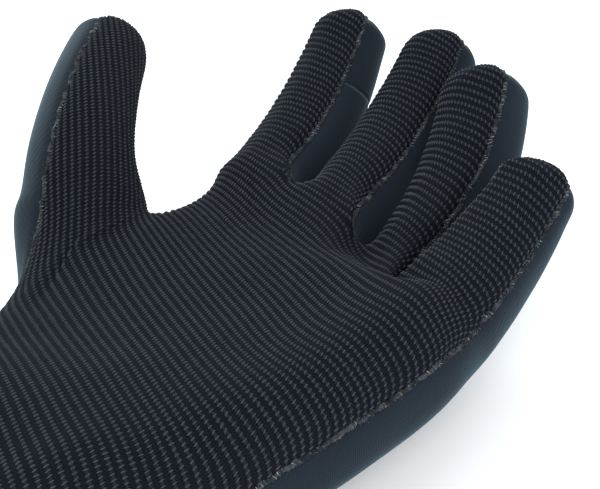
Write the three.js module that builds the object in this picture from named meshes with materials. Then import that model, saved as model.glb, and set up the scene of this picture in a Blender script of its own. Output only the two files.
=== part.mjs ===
// Diving glove for the left hand, in thick neoprene. It lies on its back with the palm up.
// Millimetres. +X points to the little finger, +Y to the fingertips, +Z up out of the palm.
//
// The outside is one smooth skin, worked out from a coarse cage of four-sided cells: sections
// go round the hand, and rings go round each finger. The panels are patches of that skin,
// thickened inwards by the wall, that face each other along the seam.
import * as THREE from 'three';

// Overall sizes
const HAND_WIDTH = 103;        // over the knuckles
const HAND_THICKNESS = 36;     // palm to back
const HAND_LENGTH = 112;       // wrist line to knuckle line
const WRIST_WIDTH = 86;
const WRIST_THICKNESS = 45;
const CUFF_LENGTH = 68;        // beyond the wrist line
const CUFF_WIDTH = 94;         // at the open end
const CUFF_THICKNESS = 52;
const INDEX_LENGTH = 82;       // from the knuckle's middle to the tip
const MIDDLE_LENGTH = 91;
const RING_LENGTH = 84;
const LITTLE_LENGTH = 57.5;
const THUMB_LENGTH = 101;      // from deep in the ball of the thumb to the tip
const THUMB_ROOT_WIDTH = 34.4;
const THUMB_TIP_WIDTH = 23.6;
const WALL = 4;                // neoprene with its two knit faces
const SEAM_GAP = 0.3;          // between the facing edges of two panels
const REST_SINK = 0.8;         // how far the back is pressed flat where it rests

// Sections round the hand, from past the wrist to just short of the knuckles. The first value
// of a pair is the thumb's side, the second the little finger's.
// along: y from the wrist line, share of HAND_LENGTH
// edge: x from the middle line, share of HAND_WIDTH
// round: radius of the side, and rise: height of its centre, shares of HAND_THICKNESS
// top: height of the palm's middle, share of HAND_THICKNESS
// seam: turn of the seam from straight up, in degrees outwards
const HAND_ROWS = [
  { along: [0.15, 0.15], edge: [-0.420, 0.455], round: [0.52, 0.54],
    rise: [0.52, 0.60], top: 1.15, seam: [72, 70] },
  { along: [0.30, 0.30], edge: [-0.465, 0.490], round: [0.46, 0.47],
    rise: [0.45, 0.66], top: 1.06, seam: [68, 70] },
  { along: [0.46, 0.43], edge: [-0.500, 0.512], round: [0.46, 0.45],
    rise: [0.50, 0.67], top: 1.00, seam: [80, 69] },
  { along: [0.63, 0.54], edge: [-0.500, 0.518], round: [0.44, 0.46],
    rise: [0.50, 0.65], top: 0.95, seam: [90, 69] },
  { along: [0.84, 0.64], edge: [-0.522, 0.527], round: [0.38, 0.46],
    rise: [0.49, 0.65], top: 0.93, seam: [92, 69] },
  { along: [0.95, 0.74], edge: [-0.490, 0.529], round: [0.39, 0.44],
    rise: [0.47, 0.67], top: 0.92, seam: [85, 70] },
];

// Sections of the cuff, from its open end to the wrist line.
// along: share of CUFF_LENGTH beyond the wrist line
// flare: share of the way from the wrist's section to the open end's
const CUFF_ROWS = [
  { along: 1.0, flare: 1.00 },
  { along: 0.8, flare: 0.84 },
  { along: 0.6, flare: 0.60 },
  { along: 0.4, flare: 0.33 },
  { along: 0.2, flare: 0.10 },
  { along: 0.0, flare: 0.00 },
];
const WRIST_SHIFT = 0.025;     // the wrist's middle towards the little finger, share of HAND_WIDTH
const CUFF_ROUND = 0.5;        // radius of the sides of the wrist and the cuff, share of thickness
const CUFF_SEAM = 74;          // turn of the seam there, in degrees

// The fingers, from their knuckle's middle.
// across: x, share of HAND_WIDTH. along: y from the knuckle line, share of HAND_LENGTH
// height: z, share of HAND_THICKNESS
// width: at the root, share of HAND_WIDTH. taper: width at the tip, share of the root's
// yaw and pitch: heading at the root and at the tip, in degrees
// seam: turn from the palm's middle line to the seam on the thumb's side and the other, in degrees
// rootSeam: the same at the root, where the seam comes up out of the crotch
// squeeze: how far each side is flattened at the root by the next finger, share of its radius.
// A side that stands out there has a negative one.
const FINGERS = [
  { length: INDEX_LENGTH, across: -0.369, along: 0.050, height: 0.57, width: 0.280, taper: 0.81,
    yaw: [-14, -17], pitch: [6, 32], rootSeam: [75, 39], seam: [75, 39], squeeze: [0, 0.17] },
  { length: MIDDLE_LENGTH, across: -0.111, along: 0.006, height: 0.59, width: 0.268, taper: 0.84,
    yaw: [-9, -13], pitch: [0, 28], rootSeam: [78, 48], seam: [80, 50], squeeze: [0.17, 0.09] },
  { length: RING_LENGTH, across: 0.146, along: -0.052, height: 0.40, width: 0.268, taper: 0.89,
    yaw: [2, -25], pitch: [9, 34], rootSeam: [82, 36], seam: [86, 32], squeeze: [0.09, 0.2] },
  { length: LITTLE_LENGTH, across: 0.362, along: -0.162, height: 0.65, width: 0.284, taper: 0.78,
    yaw: [3, -3], pitch: [5, 26], rootSeam: [40, 67], seam: [44, 67], squeeze: [0.22, -0.13] },
];
const FINGER_STATIONS = [0.13, 0.28, 0.42, 0.56, 0.68, 0.86, 1]; // rings, shares of straight length
const SQUEEZE_REACH = 0.62;    // share of a finger's length over which its squeezed sides fill out
const SEAM_SETTLED = 0.45;     // share of its length by which a finger's seam reaches its own turn
const TIP_THINNING = 0.15;     // how far the back of a fingertip is thinned, share of its radius
const THINNING_START = 0.72;   // share of its length where that starts
// The index finger's back is joined at one of its rings, which leans towards the tip there.
// Its lean and that of the rings beside it are shares of the radius.
const JOINED_FINGER = 0;
const JOINED_LEAN = [0, 0, 0, 0.3, 0.6, 0.35, 0.1];
const JOINED_RING = JOINED_LEAN.indexOf(Math.max(...JOINED_LEAN)) + 1;

// The crotches, from the index finger's to the little finger's, from midway between two roots.
// along: share of HAND_LENGTH, lift: share of HAND_THICKNESS, to where the seam crosses over
const CROTCHES = [
  { along: 0.026, lift: 0.315 },
  { along: 0.018, lift: 0.325 },
  { along: -0.033, lift: 0.240 },
];
const CROTCH_SET_BACK = 0.035; // the palm and the back stop this share of HAND_LENGTH short of it
const CROTCH_PALM = 0.375;     // heights of the palm and the back there, shares of HAND_THICKNESS
const CROTCH_BACK = -0.34;

const THUMB = {
  length: THUMB_LENGTH, across: -0.458, along: -0.495, height: 0.37,
  yaw: [-45, -33], pitch: [44.7, 10], turn: 47, rootSeam: [76, 80], seam: [65, 81], tipSeam: [48, 84],
};
const THUMB_STATIONS = [0.22, 0.35, 0.48, 0.61, 0.74, 0.87, 1];
// Its first rings, in shares of the radius. flare: how far the web's side stands out, lean: how
// far the ring leans to the tip there, thin: how far the back is thinned
const THUMB_ROOT = [
  { flare: 0.40, lean: 0.55, thin: 0.08 },
  { flare: 0.28, lean: 0.30, thin: 0.10 },
  { flare: 0.10, lean: 0.10, thin: 0.05 },
];
const WEB_TURN = 60;           // the web's direction round the thumb, in degrees from its palm side
// The thumb's opening lies between two sections, and this table gives its edges in between.
// ball: on the palm, heel: on the back. Each is [x, z], shares of HAND_WIDTH and HAND_THICKNESS
const THUMB_EDGES = [
  { ball: [-0.378, 0.99], heel: [-0.49, 0.08] },
  { ball: [-0.400, 0.93], heel: [-0.51, 0.08] },
];
const THUMB_FIRST_ROW = CUFF_ROWS.length + 1;
const LAST_RING_TURN = 62;     // angle from the tip to the last ring of a finger, in degrees
const FITTING_PASSES = 5;      // rounds in which the cage is drawn to its points
const EASING_PASSES = 4;       // rounds in which the wall's directions are eased

// Columns of a section: the seam on the thumb's side, nine on the palm, the seam on the little
// finger's side and nine on the back. Two of the nine belong to each finger, and one more ends them.
const LAST = 2 * FINGERS.length;
const THUMB_SEAM = 0;
const LITTLE_SEAM = LAST + 2;
const COLUMNS = 2 * LITTLE_SEAM;
const palmColumn = (k) => 1 + k;
const backColumn = (k) => COLUMNS - 1 - k;
const PALM_TURNS = [0.56, 0.12]; // columns 0 and 1 from a side, as shares of the turn to the seam
const BACK_TURNS = [118, 166];   // columns 0 and 1 from a side, in degrees from straight up

const radians = THREE.MathUtils.degToRad;
const lerp = THREE.MathUtils.lerp;
const vec = (x, y, z) => new THREE.Vector3(x, y, z);
const cos = (degrees) => Math.cos(radians(degrees));
const sin = (degrees) => Math.sin(radians(degrees));

// Cage points are where the skin passes. A cell lists its corners turning left, seen from outside.
const points = [];
const cells = [];
const addPoint = (point) => points.push(point) - 1;
const addCell = (panel, ...corners) => cells.push({ panel, corners });

// The middle line of a finger: its place, heading, palm side and radius at each station.
function fingerLine(finger, rootRadius, tipRadius, stations) {
  const straight = finger.length - tipRadius;
  const frameAt = (t) => {
    const yaw = lerp(...finger.yaw, t);
    const pitch = lerp(...finger.pitch, t);
    const ahead = vec(cos(pitch) * sin(yaw), cos(pitch) * cos(yaw), sin(pitch));
    const up = vec(-sin(pitch) * sin(yaw), -sin(pitch) * cos(yaw), cos(pitch));
    const right = new THREE.Vector3().crossVectors(ahead, up);
    const turn = finger.turn ?? 0;
    const palm = up.multiplyScalar(cos(turn)).addScaledVector(right, sin(turn));
    return { ahead, palm, side: new THREE.Vector3().crossVectors(ahead, palm) };
  };
  const at = vec(finger.across * HAND_WIDTH, finger.along * HAND_LENGTH, finger.height * HAND_THICKNESS);
  const steps = 10;
  const line = [];
  let share = 0;
  for (const station of [0, ...stations]) {
    for (let i = 0; i < steps; i += 1) {
      const middle = lerp(share, station, (i + 0.5) / steps);
      at.addScaledVector(frameAt(middle).ahead, ((station - share) * straight) / steps);
    }
    share = station;
    const radius = lerp(rootRadius, tipRadius, share);
    const filled = Math.max(0, 1 - share / SQUEEZE_REACH);
    const squeeze = (finger.squeeze ?? [0, 0]).map((most) => most * filled);
    const thinned = TIP_THINNING * Math.max(0, (share - THINNING_START) / (1 - THINNING_START));
    line.push({ ...frameAt(share), share, radius, squeeze, thinned, centre: at.clone() });
  }
  return line;
}

// A point of a ring: the angle is from the palm's middle line, positive to the little finger.
function ringPoint(station, angle, scale = 1, forward = 0) {
  const radius = station.radius * scale;
  const flattened = station.squeeze[sin(angle) < 0 ? 0 : 1];
  const thinned = cos(angle) < 0 ? station.thinned : 0;
  return station.centre.clone()
    .addScaledVector(station.palm, radius * (1 - thinned) * cos(angle))
    .addScaledVector(station.side, radius * (1 - flattened) * sin(angle))
    .addScaledVector(station.ahead, station.radius * forward);
}

// Angles of a ring's points: from one seam over the palm side to the other, then round the back.
function ringAngles(seam, half) {
  const share = Array.from({ length: half }, (_, i) => i / half);
  return [
    ...share.map((t) => lerp(-seam[0], seam[1], t)),
    ...share.map((t) => lerp(seam[1], 360 - seam[0], t)),
  ];
}

// The seam's turns at a share of a finger's length
function seamTurns({ rootSeam, seam, tipSeam = seam }, share) {
  const settled = Math.min(1, share / SEAM_SETTLED);
  const ending = Math.max(0, (share - SEAM_SETTLED) / (1 - SEAM_SETTLED));
  return seam.map((turn, s) => lerp(lerp(rootSeam[s], turn, settled), tipSeam[s], ending));
}

// One section round the hand. The middle columns are spread as the knuckles are.
function handSection(row, spread) {
  const section = new Array(COLUMNS);
  const { y, edge, round, rise, seam, top } = row;
  const along = (x) => lerp(...y, THREE.MathUtils.clamp((x - edge[0]) / (edge[1] - edge[0]), 0, 1));
  const at = (x, z) => vec(x, along(x), z);
  const onSide = (s, angle) => {
    const outwards = s === 0 ? -1 : 1;
    return at(edge[s] + outwards * round[s] * (sin(angle) - 1), rise[s] + round[s] * cos(angle));
  };
  section[THUMB_SEAM] = onSide(0, seam[0]);
  section[LITTLE_SEAM] = onSide(1, seam[1]);
  for (const k of [0, 1]) {
    section[palmColumn(k)] = onSide(0, seam[0] * PALM_TURNS[k]);
    section[palmColumn(LAST - k)] = onSide(1, seam[1] * PALM_TURNS[k]);
    section[backColumn(k)] = onSide(0, BACK_TURNS[k]);
    section[backColumn(LAST - k)] = onSide(1, BACK_TURNS[k]);
  }
  const [first, last] = [section[palmColumn(1)], section[palmColumn(LAST - 1)]];
  const [firstBack, lastBack] = [section[backColumn(1)], section[backColumn(LAST - 1)]];
  for (let k = 2; k <= LAST - 2; k += 1) {
    const t = spread[k];
    const bulge = 4 * t * (1 - t) * (top - (first.z + last.z) / 2);
    section[palmColumn(k)] = at(lerp(first.x, last.x, t), lerp(first.z, last.z, t) + bulge);
    section[backColumn(k)] = at(lerp(firstBack.x, lastBack.x, t), -REST_SINK);
  }
  return section;
}

// The knuckles' section comes from the roots of the fingers. It has three crotch points more.
function knuckleSection(lines) {
  const section = new Array(COLUMNS);
  const crotch = [];
  lines.forEach((line, i) => {
    const angles = ringAngles(seamTurns(FINGERS[i], 0), 4);
    const at = (corner) => ringPoint(line[0], angles[corner]);
    section[palmColumn(2 * i + 1)] = at(2);
    section[backColumn(2 * i + 1)] = at(6);
    if (i === 0) {
      section[THUMB_SEAM] = at(0);
      section[palmColumn(0)] = at(1);
      section[backColumn(0)] = at(7);
      return;
    }
    if (i === lines.length - 1) {
      section[LITTLE_SEAM] = at(4);
      section[palmColumn(LAST)] = at(3);
      section[backColumn(LAST)] = at(5);
    }
    const middle = lines[i - 1][0].centre.clone().lerp(line[0].centre, 0.5);
    const { along, lift } = CROTCHES[i - 1];
    const place = (y, z) => middle.clone().add(vec(0, y * HAND_LENGTH, z * HAND_THICKNESS));
    crotch.push(place(along, lift));
    section[palmColumn(2 * i)] = place(along - CROTCH_SET_BACK, CROTCH_PALM);
    section[backColumn(2 * i)] = place(along - CROTCH_SET_BACK, CROTCH_BACK);
  });
  return { section, crotch };
}

// Size of a row in millimetres, from its shares
function sizedRow({ along, edge, round, rise, top, seam }) {
  const scale = (pair, size) => pair.map((share) => share * size);
  return {
    y: along.map((share) => (share - 1) * HAND_LENGTH),
    edge: scale(edge, HAND_WIDTH), round: scale(round, HAND_THICKNESS),
    rise: scale(rise, HAND_THICKNESS), top: top * HAND_THICKNESS, seam,
  };
}

function sizedCuffRow({ along, flare }) {
  const width = lerp(WRIST_WIDTH, CUFF_WIDTH, flare);
  const thickness = lerp(WRIST_THICKNESS, CUFF_THICKNESS, flare);
  const middle = WRIST_SHIFT * HAND_WIDTH;
  const y = -HAND_LENGTH - along * CUFF_LENGTH;
  const round = CUFF_ROUND * thickness;
  return {
    y: [y, y], edge: [middle - width / 2, middle + width / 2], round: [round, round],
    rise: [round, round], top: thickness, seam: [CUFF_SEAM, CUFF_SEAM],
  };
}

// A finger: rings of eight from the knuckles, with four cells over the tip.
function addFinger(i, line, rootRing) {
  const backPanel = (number) => (
    i === JOINED_FINGER && number >= JOINED_RING ? 'index_back_panel' : 'back_panel'
  );
  let ring = rootRing;
  const grow = (number, next) => {
    for (let c = 0; c < 8; c += 1) {
      const d = (c + 1) % 8;
      addCell(c < 4 ? 'palm_panel' : backPanel(number), ring[c], ring[d], next[d], next[c]);
    }
    ring = next;
  };
  line.slice(1).forEach((station, number) => {
    const angles = ringAngles(seamTurns(FINGERS[i], station.share), 4);
    const lean = i === JOINED_FINGER ? JOINED_LEAN[number] / 2 : 0;
    const forward = (angle) => lean * (1 - cos(angle));
    grow(number, angles.map((angle) => addPoint(ringPoint(station, angle, 1, forward(angle)))));
  });
  const end = line[line.length - 1];
  const angles = ringAngles(seamTurns(FINGERS[i], 1), 4);
  const [scale, forward] = [sin(LAST_RING_TURN), cos(LAST_RING_TURN)];
  grow(FINGER_STATIONS.length, angles.map((angle) => addPoint(ringPoint(end, angle, scale, forward))));
  const tip = addPoint(ringPoint(end, 0, 0, 1));
  const [a, b, c, d, e, f, g, h] = ring;
  addCell('palm_panel', b, c, tip, a);
  addCell('palm_panel', c, d, e, tip);
  addCell(backPanel(JOINED_RING), f, g, tip, e);
  addCell(backPanel(JOINED_RING), g, h, a, tip);
}

// The thumb: rings of fourteen from its opening, with four by three cells over the tip.
function addThumb(opening) {
  const line = fingerLine(THUMB, THUMB_ROOT_WIDTH / 2, THUMB_TIP_WIDTH / 2, THUMB_STATIONS);
  let ring = opening;
  const grow = (next) => {
    for (let c = 0; c < 14; c += 1) {
      const d = (c + 1) % 14;
      addCell(c < 7 ? 'palm_panel' : 'back_panel', ring[c], ring[d], next[d], next[c]);
    }
    ring = next;
  };
  for (const [number, station] of line.slice(1).entries()) {
    const settled = { flare: 0, lean: 0, thin: station.thinned };
    const { flare, lean, thin } = THUMB_ROOT[number] ?? settled;
    station.squeeze = [0, -flare];
    station.thinned = thin;
    const forward = (angle) => lean * Math.max(0, cos(angle - WEB_TURN));
    const angles = ringAngles(seamTurns(THUMB, station.share), 7);
    grow(angles.map((angle) => addPoint(ringPoint(station, angle, 1, forward(angle)))));
  }
  const end = line[line.length - 1];
  const angles = ringAngles(seamTurns(THUMB, 1), 7);
  const [scale, forward] = [sin(LAST_RING_TURN), cos(LAST_RING_TURN)];
  grow(angles.map((angle) => addPoint(ringPoint(end, angle, scale, forward))));
  // The tip's grid: columns from the palm to the back, rows from one end of the seam to the other
  const border = [
    [2, 3, 4, 5],
    [1, null, null, 6],
    [0, null, null, 7],
    [13, null, null, 8],
    [12, 11, 10, 9],
  ];
  const domePoint = (from, to, t) => {
    const across = ringPoint(end, angles[from], scale).lerp(ringPoint(end, angles[to], scale), t);
    const reach = across.distanceTo(end.centre);
    return across.addScaledVector(end.ahead, Math.sqrt(end.radius ** 2 - reach ** 2));
  };
  const grid = border.map((column) => column.map((corner, j) => (
    corner === null ? addPoint(domePoint(column[0], column[3], j / 3)) : ring[corner]
  )));
  for (let i = 0; i < 4; i += 1) {
    for (let j = 0; j < 3; j += 1) {
      const panel = i < 2 ? 'palm_panel' : 'back_panel';
      addCell(panel, grid[i][j], grid[i][j + 1], grid[i + 1][j + 1], grid[i + 1][j]);
    }
  }
}

// The hand and cuff: cells between the sections, left out where the thumb opens.
function addHand(lines) {
  const knuckles = knuckleSection(lines);
  const spread = Array.from({ length: LAST + 1 }, (_, k) => {
    const [first, last] = [knuckles.section[palmColumn(1)].x, knuckles.section[palmColumn(LAST - 1)].x];
    return (knuckles.section[palmColumn(k)].x - first) / (last - first);
  });
  const rows = [...CUFF_ROWS.map(sizedCuffRow), ...HAND_ROWS.map(sizedRow)];
  const sections = [...rows.map((row) => handSection(row, spread)), knuckles.section];
  const thumbLastRow = THUMB_FIRST_ROW + THUMB_EDGES.length + 1;
  const insideOpening = (r) => r > THUMB_FIRST_ROW && r < thumbLastRow;
  THUMB_EDGES.forEach((edges, i) => {
    const section = sections[THUMB_FIRST_ROW + 1 + i];
    for (const [column, [x, z]] of [[palmColumn(1), edges.ball], [backColumn(1), edges.heel]]) {
      section[column].x = x * HAND_WIDTH;
      section[column].z = z * HAND_THICKNESS;
    }
  });
  const covered = [palmColumn(0), THUMB_SEAM, backColumn(0)];
  const ids = sections.map((section, r) => section.map((point, c) => (
    insideOpening(r) && covered.includes(c) ? null : addPoint(point)
  )));
  for (let r = 0; r + 1 < ids.length; r += 1) {
    for (let c = 0; c < COLUMNS; c += 1) {
      const d = (c + 1) % COLUMNS;
      const beside = covered.includes(c) || covered.includes(d);
      if (beside && r >= THUMB_FIRST_ROW && r < thumbLastRow) continue;
      const panel = c < LITTLE_SEAM ? 'palm_panel' : 'back_panel';
      addCell(panel, ids[r][c], ids[r][d], ids[r + 1][d], ids[r + 1][c]);
    }
  }
  const crotch = knuckles.crotch.map(addPoint);
  const top = ids[ids.length - 1];
  const fingerRings = lines.map((_, i) => [
    i === 0 ? top[THUMB_SEAM] : crotch[i - 1],
    top[palmColumn(2 * i)], top[palmColumn(2 * i + 1)], top[palmColumn(2 * i + 2)],
    i === lines.length - 1 ? top[LITTLE_SEAM] : crotch[i],
    top[backColumn(2 * i + 2)], top[backColumn(2 * i + 1)], top[backColumn(2 * i)],
  ]);
  const [first, last] = [ids[THUMB_FIRST_ROW], ids[thumbLastRow]];
  const between = ids.slice(THUMB_FIRST_ROW + 1, thumbLastRow);
  const opening = [
    first[THUMB_SEAM], first[palmColumn(0)], first[palmColumn(1)],
    ...between.map((row) => row[palmColumn(1)]),
    last[palmColumn(1)], last[palmColumn(0)], last[THUMB_SEAM], last[backColumn(0)], last[backColumn(1)],
    ...between.map((row) => row[backColumn(1)]).reverse(),
    first[backColumn(1)], first[backColumn(0)],
  ];
  return { fingerRings, opening };
}

// Neighbours of each point of a mesh of four-sided cells: along edges and across cells.
function neighbours(count, mesh) {
  const near = Array.from({ length: count }, () => ({ edge: new Map(), across: [] }));
  for (const { corners } of mesh) {
    corners.forEach((v, i) => {
      near[v].across.push(corners[(i + 2) % 4]);
      for (const w of [corners[(i + 1) % 4], corners[(i + 3) % 4]]) {
        near[v].edge.set(w, (near[v].edge.get(w) ?? 0) + 1);
      }
    });
  }
  return near.map(({ edge, across }) => {
    const rim = [...edge].filter(([, uses]) => uses === 1).map(([w]) => w);
    return { edge: [...edge.keys()], across, rim };
  });
}

const sum = (list, at) => list.reduce((total, v) => total.add(at[v]), vec(0, 0, 0));

// Where the smooth skin of a cage passes at each of its points
function skinPoints(at, near) {
  return near.map(({ edge, across, rim }, v) => {
    if (rim.length) return sum(rim, at).addScaledVector(at[v], 4).divideScalar(6);
    const n = edge.length;
    return at[v].clone().multiplyScalar(n * n).addScaledVector(sum(edge, at), 4)
      .add(sum(across, at)).divideScalar(n * (n + 5));
  });
}

// A cage whose smooth skin passes through the given points
function cageThrough(targets, near) {
  const cage = targets.map((point) => point.clone());
  for (let pass = 0; pass < FITTING_PASSES; pass += 1) {
    const skin = skinPoints(cage, near);
    cage.forEach((point, v) => point.add(targets[v]).sub(skin[v]));
  }
  return cage;
}

// One round of smoothing: each cell becomes four.
function subdivide(at, mesh, near) {
  const next = at.map((point, v) => {
    const { edge, across, rim } = near[v];
    if (rim.length) return sum(rim, at).addScaledVector(point, 6).divideScalar(8);
    const n = edge.length;
    return point.clone().multiplyScalar(4 * n * n - 7 * n)
      .addScaledVector(sum(edge, at), 6).add(sum(across, at)).divideScalar(4 * n * n);
  });
  const centres = mesh.map(({ corners }) => next.push(sum(corners, at).divideScalar(4)) - 1);
  const edges = new Map();
  const key = (v, w) => (v < w ? `${v} ${w}` : `${w} ${v}`);
  mesh.forEach(({ corners }, i) => corners.forEach((v, j) => {
    const w = corners[(j + 1) % 4];
    const entry = edges.get(key(v, w)) ?? { ends: [v, w], sides: [] };
    entry.sides.push(centres[i]);
    edges.set(key(v, w), entry);
  }));
  for (const entry of edges.values()) {
    const inside = entry.sides.length === 2 ? entry.sides : [];
    const total = sum(entry.ends, at).add(sum(inside, next));
    entry.id = next.push(total.divideScalar(2 + inside.length)) - 1;
  }
  const cellsOut = mesh.flatMap(({ panel, corners }, i) => corners.map((v, j) => {
    const [before, after] = [corners[(j + 3) % 4], corners[(j + 1) % 4]];
    const [ahead, behind] = [edges.get(key(v, after)).id, edges.get(key(before, v)).id];
    return { panel, corners: [v, ahead, centres[i], behind] };
  }));
  return { at: next, mesh: cellsOut };
}

// Outward directions at the points of a mesh
function outwardDirections(at, mesh) {
  const out = at.map(() => vec(0, 0, 0));
  for (const { corners } of mesh) {
    const [a, b, c, d] = corners.map((v) => at[v]);
    const face = new THREE.Vector3().crossVectors(c.clone().sub(a), d.clone().sub(b));
    corners.forEach((v) => out[v].add(face));
  }
  return out.map((direction) => direction.normalize());
}

// Directions eased towards their neighbours', so that the inside doesn't fold in a tight crotch
function easedDirections(out, near) {
  let eased = out;
  for (let pass = 0; pass < EASING_PASSES; pass += 1) {
    eased = eased.map((direction, v) => {
      const around = sum(near[v].edge, eased).divideScalar(near[v].edge.length);
      return direction.clone().add(around).normalize();
    });
  }
  return eased;
}

// A panel: its patch of the skin, thickened inwards, with its edges drawn back from the seam.
function panelGeometry(panel, skin) {
  const patch = skin.mesh.filter((cell) => cell.panel === panel);
  const rims = new Map();
  for (const { corners } of patch) {
    corners.forEach((v, j) => {
      const w = corners[(j + 1) % 4];
      if (!rims.delete(`${w} ${v}`)) rims.set(`${v} ${w}`, [v, w]);
    });
  }
  const drawnBack = new Map();
  for (const [v, w] of rims.values()) {
    const free = skin.near[v].rim.includes(w);
    for (const end of [v, w]) {
      const along = skin.at[w].clone().sub(skin.at[v]);
      const inwards = new THREE.Vector3().crossVectors(skin.out[end], along).normalize();
      drawnBack.set(end, [...(drawnBack.get(end) ?? []), { inwards, gap: free ? 0 : SEAM_GAP / 2 }]);
    }
  }
  const shift = (v) => {
    const [p, q] = drawnBack.get(v) ?? [];
    if (!p) return vec(0, 0, 0);
    const cosine = p.inwards.dot(q.inwards);
    if (cosine > 0.9) return p.inwards.clone().add(q.inwards).multiplyScalar((p.gap + q.gap) / 4);
    const a = (p.gap - q.gap * cosine) / (1 - cosine ** 2);
    const b = (q.gap - p.gap * cosine) / (1 - cosine ** 2);
    return p.inwards.clone().multiplyScalar(a).addScaledVector(q.inwards, b);
  };
  const positions = [];
  const place = (point) => positions.push(point.x, point.y, point.z) / 3 - 1;
  const outer = new Map();
  const inner = new Map();
  for (const v of new Set(patch.flatMap(({ corners }) => corners))) {
    const moved = skin.at[v].clone().add(shift(v));
    const inside = moved.clone().addScaledVector(skin.eased[v], -WALL);
    if (skin.near[v].rim.length) inside.y = moved.y;
    outer.set(v, place(moved));
    inner.set(v, place(inside));
  }
  const index = [];
  const quad = (a, b, c, d) => index.push(a, b, c, a, c, d);
  for (const { corners } of patch) {
    const [a, b, c, d] = corners;
    const turned = skin.at[a].distanceTo(skin.at[c]) > skin.at[b].distanceTo(skin.at[d]);
    const order = turned ? [b, c, d, a] : [a, b, c, d];
    quad(...order.map((v) => outer.get(v)));
    quad(...[order[0], order[3], order[2], order[1]].map((v) => inner.get(v)));
  }
  for (const [v, w] of rims.values()) {
    const edge = [outer.get(v), inner.get(v), inner.get(w), outer.get(w)];
    quad(...(v < w ? [edge[3], ...edge.slice(0, 3)] : edge)); // both panels split an edge alike
  }
  const geometry = new THREE.BufferGeometry();
  geometry.setAttribute('position', new THREE.Float32BufferAttribute(positions, 3));
  geometry.setIndex(index);
  geometry.computeVertexNormals();
  return geometry;
}

const fingerLines = FINGERS.map((finger) => {
  const width = finger.width * HAND_WIDTH;
  return fingerLine(finger, width / 2, (width * finger.taper) / 2, FINGER_STATIONS);
});
const { fingerRings, opening } = addHand(fingerLines);
fingerLines.forEach((line, i) => addFinger(i, line, fingerRings[i]));
addThumb(opening);

const cageNear = neighbours(points.length, cells);
const fine = subdivide(cageThrough(points, cageNear), cells, cageNear);
const near = neighbours(fine.at.length, fine.mesh);
const at = skinPoints(fine.at, near);
for (const point of at) point.z = Math.max(point.z, 0);
const out = outwardDirections(at, fine.mesh);
const skin = { at, near, out, mesh: fine.mesh, eased: easedDirections(out, near) };

const FINISHES = {
  palm_panel: new THREE.MeshStandardMaterial({ color: 0x1b2027, roughness: 0.95, metalness: 0 }),
  back_panel: new THREE.MeshStandardMaterial({ color: 0x222b38, roughness: 0.85, metalness: 0 }),
  index_back_panel: new THREE.MeshStandardMaterial({ color: 0x202935, roughness: 0.85, metalness: 0 }),
};

const glove = new THREE.Group();
for (const [name, finish] of Object.entries(FINISHES)) {
  const panel = new THREE.Mesh(panelGeometry(name, skin), finish);
  panel.name = name;
  glove.add(panel);
}
const middle = new THREE.Box3().setFromObject(glove).getCenter(vec(0, 0, 0));
glove.position.set(-middle.x, -middle.y, 0);
glove.updateMatrixWorld(true);

export default glove;
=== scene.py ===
# %% [markdown]
# # A diving glove, lying palm up
#
# The object is one left-hand diving glove of thick neoprene. Its palm side is a coarse ribbed knit,
# its back is a fine smooth jersey, and a raised, fuzzy seam joins the two all the way round the
# fingers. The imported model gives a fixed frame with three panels. This lesson keeps their shape and
# dresses it: every panel gets a finer skin that follows the same cage, and the yarn, the stitches
# and the seam are built on top of it.

# %% Open the fixed frame
import math

import bpy
import numpy as np
from mathutils import Matrix, Vector, kdtree


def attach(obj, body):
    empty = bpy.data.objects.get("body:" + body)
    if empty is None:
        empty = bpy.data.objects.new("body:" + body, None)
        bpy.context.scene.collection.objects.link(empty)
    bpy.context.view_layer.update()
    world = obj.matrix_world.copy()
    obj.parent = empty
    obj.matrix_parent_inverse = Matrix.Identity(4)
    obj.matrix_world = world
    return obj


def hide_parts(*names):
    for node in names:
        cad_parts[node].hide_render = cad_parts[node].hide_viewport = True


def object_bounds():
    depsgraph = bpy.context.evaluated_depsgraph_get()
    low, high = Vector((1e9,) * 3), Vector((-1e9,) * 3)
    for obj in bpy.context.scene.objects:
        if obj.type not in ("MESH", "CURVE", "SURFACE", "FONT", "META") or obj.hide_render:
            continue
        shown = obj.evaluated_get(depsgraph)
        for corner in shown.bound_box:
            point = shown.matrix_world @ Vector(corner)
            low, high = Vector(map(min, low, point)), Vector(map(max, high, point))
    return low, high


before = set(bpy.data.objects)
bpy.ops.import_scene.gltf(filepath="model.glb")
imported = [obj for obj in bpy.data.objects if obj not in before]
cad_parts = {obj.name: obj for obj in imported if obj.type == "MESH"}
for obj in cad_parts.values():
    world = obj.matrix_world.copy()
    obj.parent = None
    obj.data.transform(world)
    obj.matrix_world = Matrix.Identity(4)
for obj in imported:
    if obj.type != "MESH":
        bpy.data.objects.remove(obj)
cad_box = [list(corner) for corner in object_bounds()]
print("nodes:", sorted(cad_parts))
print("panel box in mm:", [[round(1000 * value, 1) for value in corner] for corner in cad_box])

# %% [markdown]
# ## Sizes
#
# The panels were drawn from a small cage of four-sided cells: sections go round the hand and rings
# go round each finger. The same named sizes and tables are written here in metres, so the finer
# skin passes through the very same places. Lengths in the tables are shares of the named sizes.

# %% Overall sizes
MM = 0.001
HAND_WIDTH = 0.103        # over the knuckles
HAND_THICKNESS = 0.036    # palm to back
HAND_LENGTH = 0.112       # wrist line to knuckle line
WRIST_WIDTH = 0.086
WRIST_THICKNESS = 0.045
CUFF_LENGTH = 0.068       # beyond the wrist line
CUFF_WIDTH = 0.094        # at the open end
CUFF_THICKNESS = 0.052
WALL = 0.004              # neoprene with its two knit faces
REST_SINK = 0.0008        # how far the back is pressed flat where it rests
THUMB_ROOT_WIDTH = 0.0344
THUMB_TIP_WIDTH = 0.0236

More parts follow.
